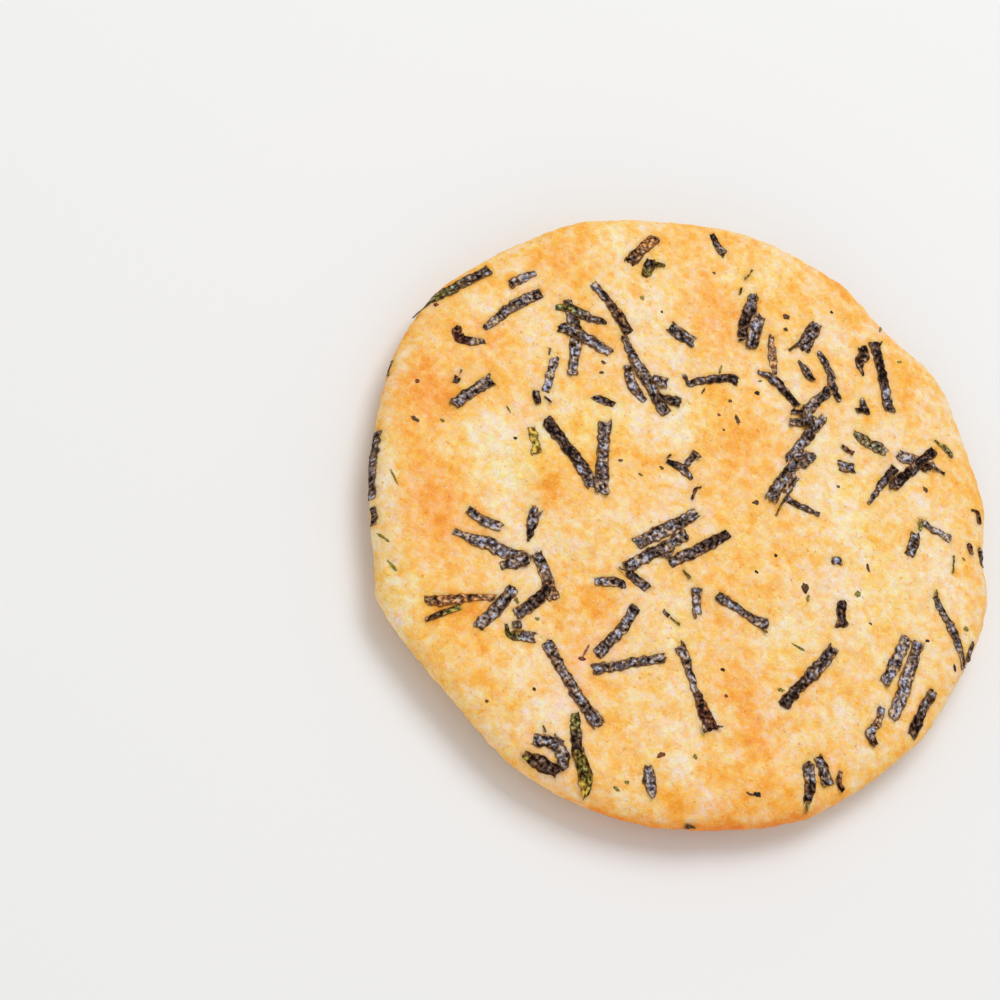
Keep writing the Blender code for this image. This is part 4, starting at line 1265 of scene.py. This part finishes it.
def crust_finish():
    """Baked rice crust: cream to golden, mottled, with orange toasting and a fine grain."""
    finish = Finish("baked_crust")
    in_mm = finish.place_in_mm()
    blotch = finish.noise(in_mm, *BLOTCH)
    grain = finish.noise(in_mm, *GRAIN)
    # The browning includes painted shade on the lower rim, on the side turned from the light.
    level = finish.sum(finish.stored("toast_and_shade"), finish.scaled(finish.noise(in_mm, *BROAD), 1.2, 0.5))
    level = finish.sum(level, finish.scaled(blotch, 1.5, 0.5))
    level = finish.sum(level, finish.scaled(grain, 0.6, 0.5))
    level = finish.sum(level, finish.scaled(finish.granules(in_mm), 0.45, 0.5))
    colour = finish.ramp(finish.spread(level, *TOAST_RANGE), CRUST_SHADES)
    # Tiny whitish specks: pale rice bits and painted glints.
    pale_specks_and_glints = finish.spread(finish.noise(in_mm, *PALE_SPECKS_AND_GLINTS), *PALE_SPECKS_AND_GLINTS_SHOW)
    colour = finish.mixed(pale_specks_and_glints, colour, screen(WHITE_OF_SPECKS_AND_GLINTS))
    blush = finish.sum(finish.stored("blush"), finish.scaled(finish.noise(in_mm, *HUE), 5.0, 0.5))
    green = finish.spread(blush, *GREEN_BY_BLUSH)
    blue = finish.spread(finish.noise(in_mm, *CREAM), *BLUE_BY_CREAM)
    tone = finish.add("CombineColor", {"Red": 1.0, "Green": green, "Blue": blue}).outputs[0]
    light = finish.spread(finish.noise(in_mm, *LIGHTNESS), *LIGHT_RANGE)
    colour = finish.lit(finish.tinted(colour, tone), light)
    colour = finish.marked(colour, finish.spread(finish.noise(in_mm, *SPECK), *SPECK_SHOWS), SPECKED)
    # The low rim line: scorching with painted shade.
    colour = finish.marked(colour, finish.stored("scorch_and_shade"), SCORCHED_AND_SHADED)
    # Beside the seaweed: painted contact shade with oily staining.
    colour = finish.marked(colour, finish.stored("stain_and_shade"), STAINED_AND_SHADED)
    relief = finish.sum(finish.scaled(grain, 0.6), finish.scaled(blotch, 0.8))
    roughness = finish.spread(grain, *CRUST_ROUGHNESS)
    return finish.finished(colour, roughness, CRUST_SHINE, relief, CRUST_BUMP)


def nori_finish():
    """Toasted seaweed: near black, crinkled, with painted shade in its hollows, a painted grey sheen along
    its creases and browner edges.
    """
    finish = Finish("toasted_nori")
    flat = finish.add("UVMap", uv_map="OFBake").outputs[0]
    in_mm = finish.scaled_place(flat, (ATLAS, ATLAS, 1.0))
    tint = finish.add("Attribute", attribute_name="tint")
    edge = finish.stored("edge")
    # The crease noise sets both the bump and the colour: the colour paints shade into hollows and a sheen
    # with glints onto creases.
    speckle = finish.noise(in_mm, *NORI_SPECKLE)
    streak = finish.noise(finish.scaled_place(in_mm, STREAK_STRETCH), *NORI_STREAK)
    patch = finish.noise(in_mm, *NORI_PATCH)
    crease = finish.sum(speckle, finish.scaled(streak, 0.4, 0.5))
    level = finish.sum(crease, finish.scaled(speckle, 0.25, 0.5))
    level = finish.sum(level, finish.scaled(patch, 0.45, 0.5))
    # The kind's alpha adds painted sheen.
    level = finish.sum(level, finish.scaled(tint.outputs["Alpha"], 0.35, USUAL_PAINTED_SHEEN))
    colour = finish.tinted(finish.ramp(level, NORI_TONES_AND_PAINTED_SHEEN), tint.outputs["Color"])
    warmth = finish.spread(finish.noise(in_mm, *NORI_WARMTH), *WARMTH_RANGE)
    colour = finish.mixed(warmth, finish.tinted(colour, COOLER), finish.tinted(colour, WARMER))
    colour = finish.marked(colour, finish.spread(edge, *BROWNER_SHOWS), BROWNER)
    colour = finish.mixed(finish.spread(edge, *TORN_SHOWS), colour, screen(TORN_EDGE))
    roughness = finish.spread(speckle, *NORI_ROUGHNESS)
    return finish.finished(colour, roughness, NORI_SHINE, crease, NORI_BUMP)


def fleck_finish():
    """Small flecks of seaweed, each of its own tint, with brighter speckles as a painted sheen."""
    finish = Finish("nori_fleck")
    speckle = finish.noise(finish.place_in_mm(), *FLECK_SPECKLE)
    tint = finish.add("Attribute", attribute_name="tint").outputs["Color"]
    # Brighter speckles stand in for a painted sheen.
    colour = finish.lit(tint, finish.spread(speckle, *FLECK_LIGHT))
    roughness = finish.spread(speckle, *FLECK_ROUGHNESS)
    return finish.finished(colour, roughness, FLECK_SHINE, speckle, FLECK_BUMP)


def floor_finish():
    """A plain pale matt floor."""
    return Finish("pale_floor").finished((FLOOR_GREY, FLOOR_GREY, FLOOR_GREY, 1.0), 0.9, 0.1)


# ---------------------------------------------------------------- stage


def dress(piece, finish):
    """Give a piece its finish and tie it to the frame."""
    piece.data.materials.clear()
    piece.data.materials.append(finish)
    pick(piece)
    bpy.ops.object.shade_smooth()
    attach(piece, "root")
    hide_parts(NODE)


def make_floor():
    """A wide pale floor just under the cracker."""
    deselect_all()
    bpy.ops.mesh.primitive_plane_add(size=FLOOR_SIZE, location=(0.0, 0.0, -FLOOR_DROP))
    floor = bpy.context.object
    floor.name = "floor"
    floor.data.materials.append(floor_finish())


def add_softbox(name, place, size, power):
    """A soft square light that faces the cracker."""
    lamp = bpy.data.lights.new(name, "AREA")
    lamp.size = size
    lamp.energy = power
    lamp_object = bpy.data.objects.new(name, lamp)
    lamp_object.location = place
    lamp_object.rotation_euler = (MIDDLE - Vector(place)).to_track_quat("-Z", "Y").to_euler()
    bpy.context.scene.collection.objects.link(lamp_object)


def light_scene():
    """A bright even surround, a large soft light above and beyond the cracker, and a weak one before it."""
    world = bpy.data.worlds.new("surround")
    world.use_nodes = True
    background = world.node_tree.nodes["Background"]
    background.inputs["Color"].default_value = SURROUND_COLOUR
    background.inputs["Strength"].default_value = SURROUND_STRENGTH
    bpy.context.scene.world = world
    for softbox in SOFTBOXES:
        add_softbox(*softbox)
    bpy.context.scene.view_settings.view_transform = "Standard"
    bpy.context.scene.view_settings.look = "None"


def make_camera():
    """Look down on the strewn side, with the cracker right of the middle of the frame."""
    back = Vector((0.0, -math.cos(VIEW_ELEVATION), math.sin(VIEW_ELEVATION)))
    level = Vector((1.0, 0.0, 0.0))
    upright = back.cross(level)
    right = math.cos(VIEW_TURN) * level - math.sin(VIEW_TURN) * upright
    up = math.sin(VIEW_TURN) * level + math.cos(VIEW_TURN) * upright
    aim = (-back - VIEW_ASIDE * right + VIEW_RAISED * up).normalized()
    right = aim.cross(up).normalized()
    up = right.cross(aim)
    lens = bpy.data.cameras.new("camera")
    lens.lens = LENS
    lens.clip_start = NEAREST_SEEN
    camera = bpy.data.objects.new("camera", lens)
    turned = Matrix((right, up, -aim)).transposed().to_4x4()
    camera.matrix_world = Matrix.Translation(VIEW_TARGET + back * VIEW_DISTANCE) @ turned
    bpy.context.scene.collection.objects.link(camera)
    bpy.context.scene.camera = camera


crust = blank_crust()
relief = raise_relief(crust)
brown_crust(crust, relief)
unwrap_crust(crust)
ground = Ground(crust)
shreds = make_shreds(ground)
flecks = make_flecks(ground)
stain_and_shade_crust(crust, ground)
dress(crust, crust_finish())
dress(shreds, nori_finish())
dress(flecks, fleck_finish())
make_floor()
light_scene()
make_camera()
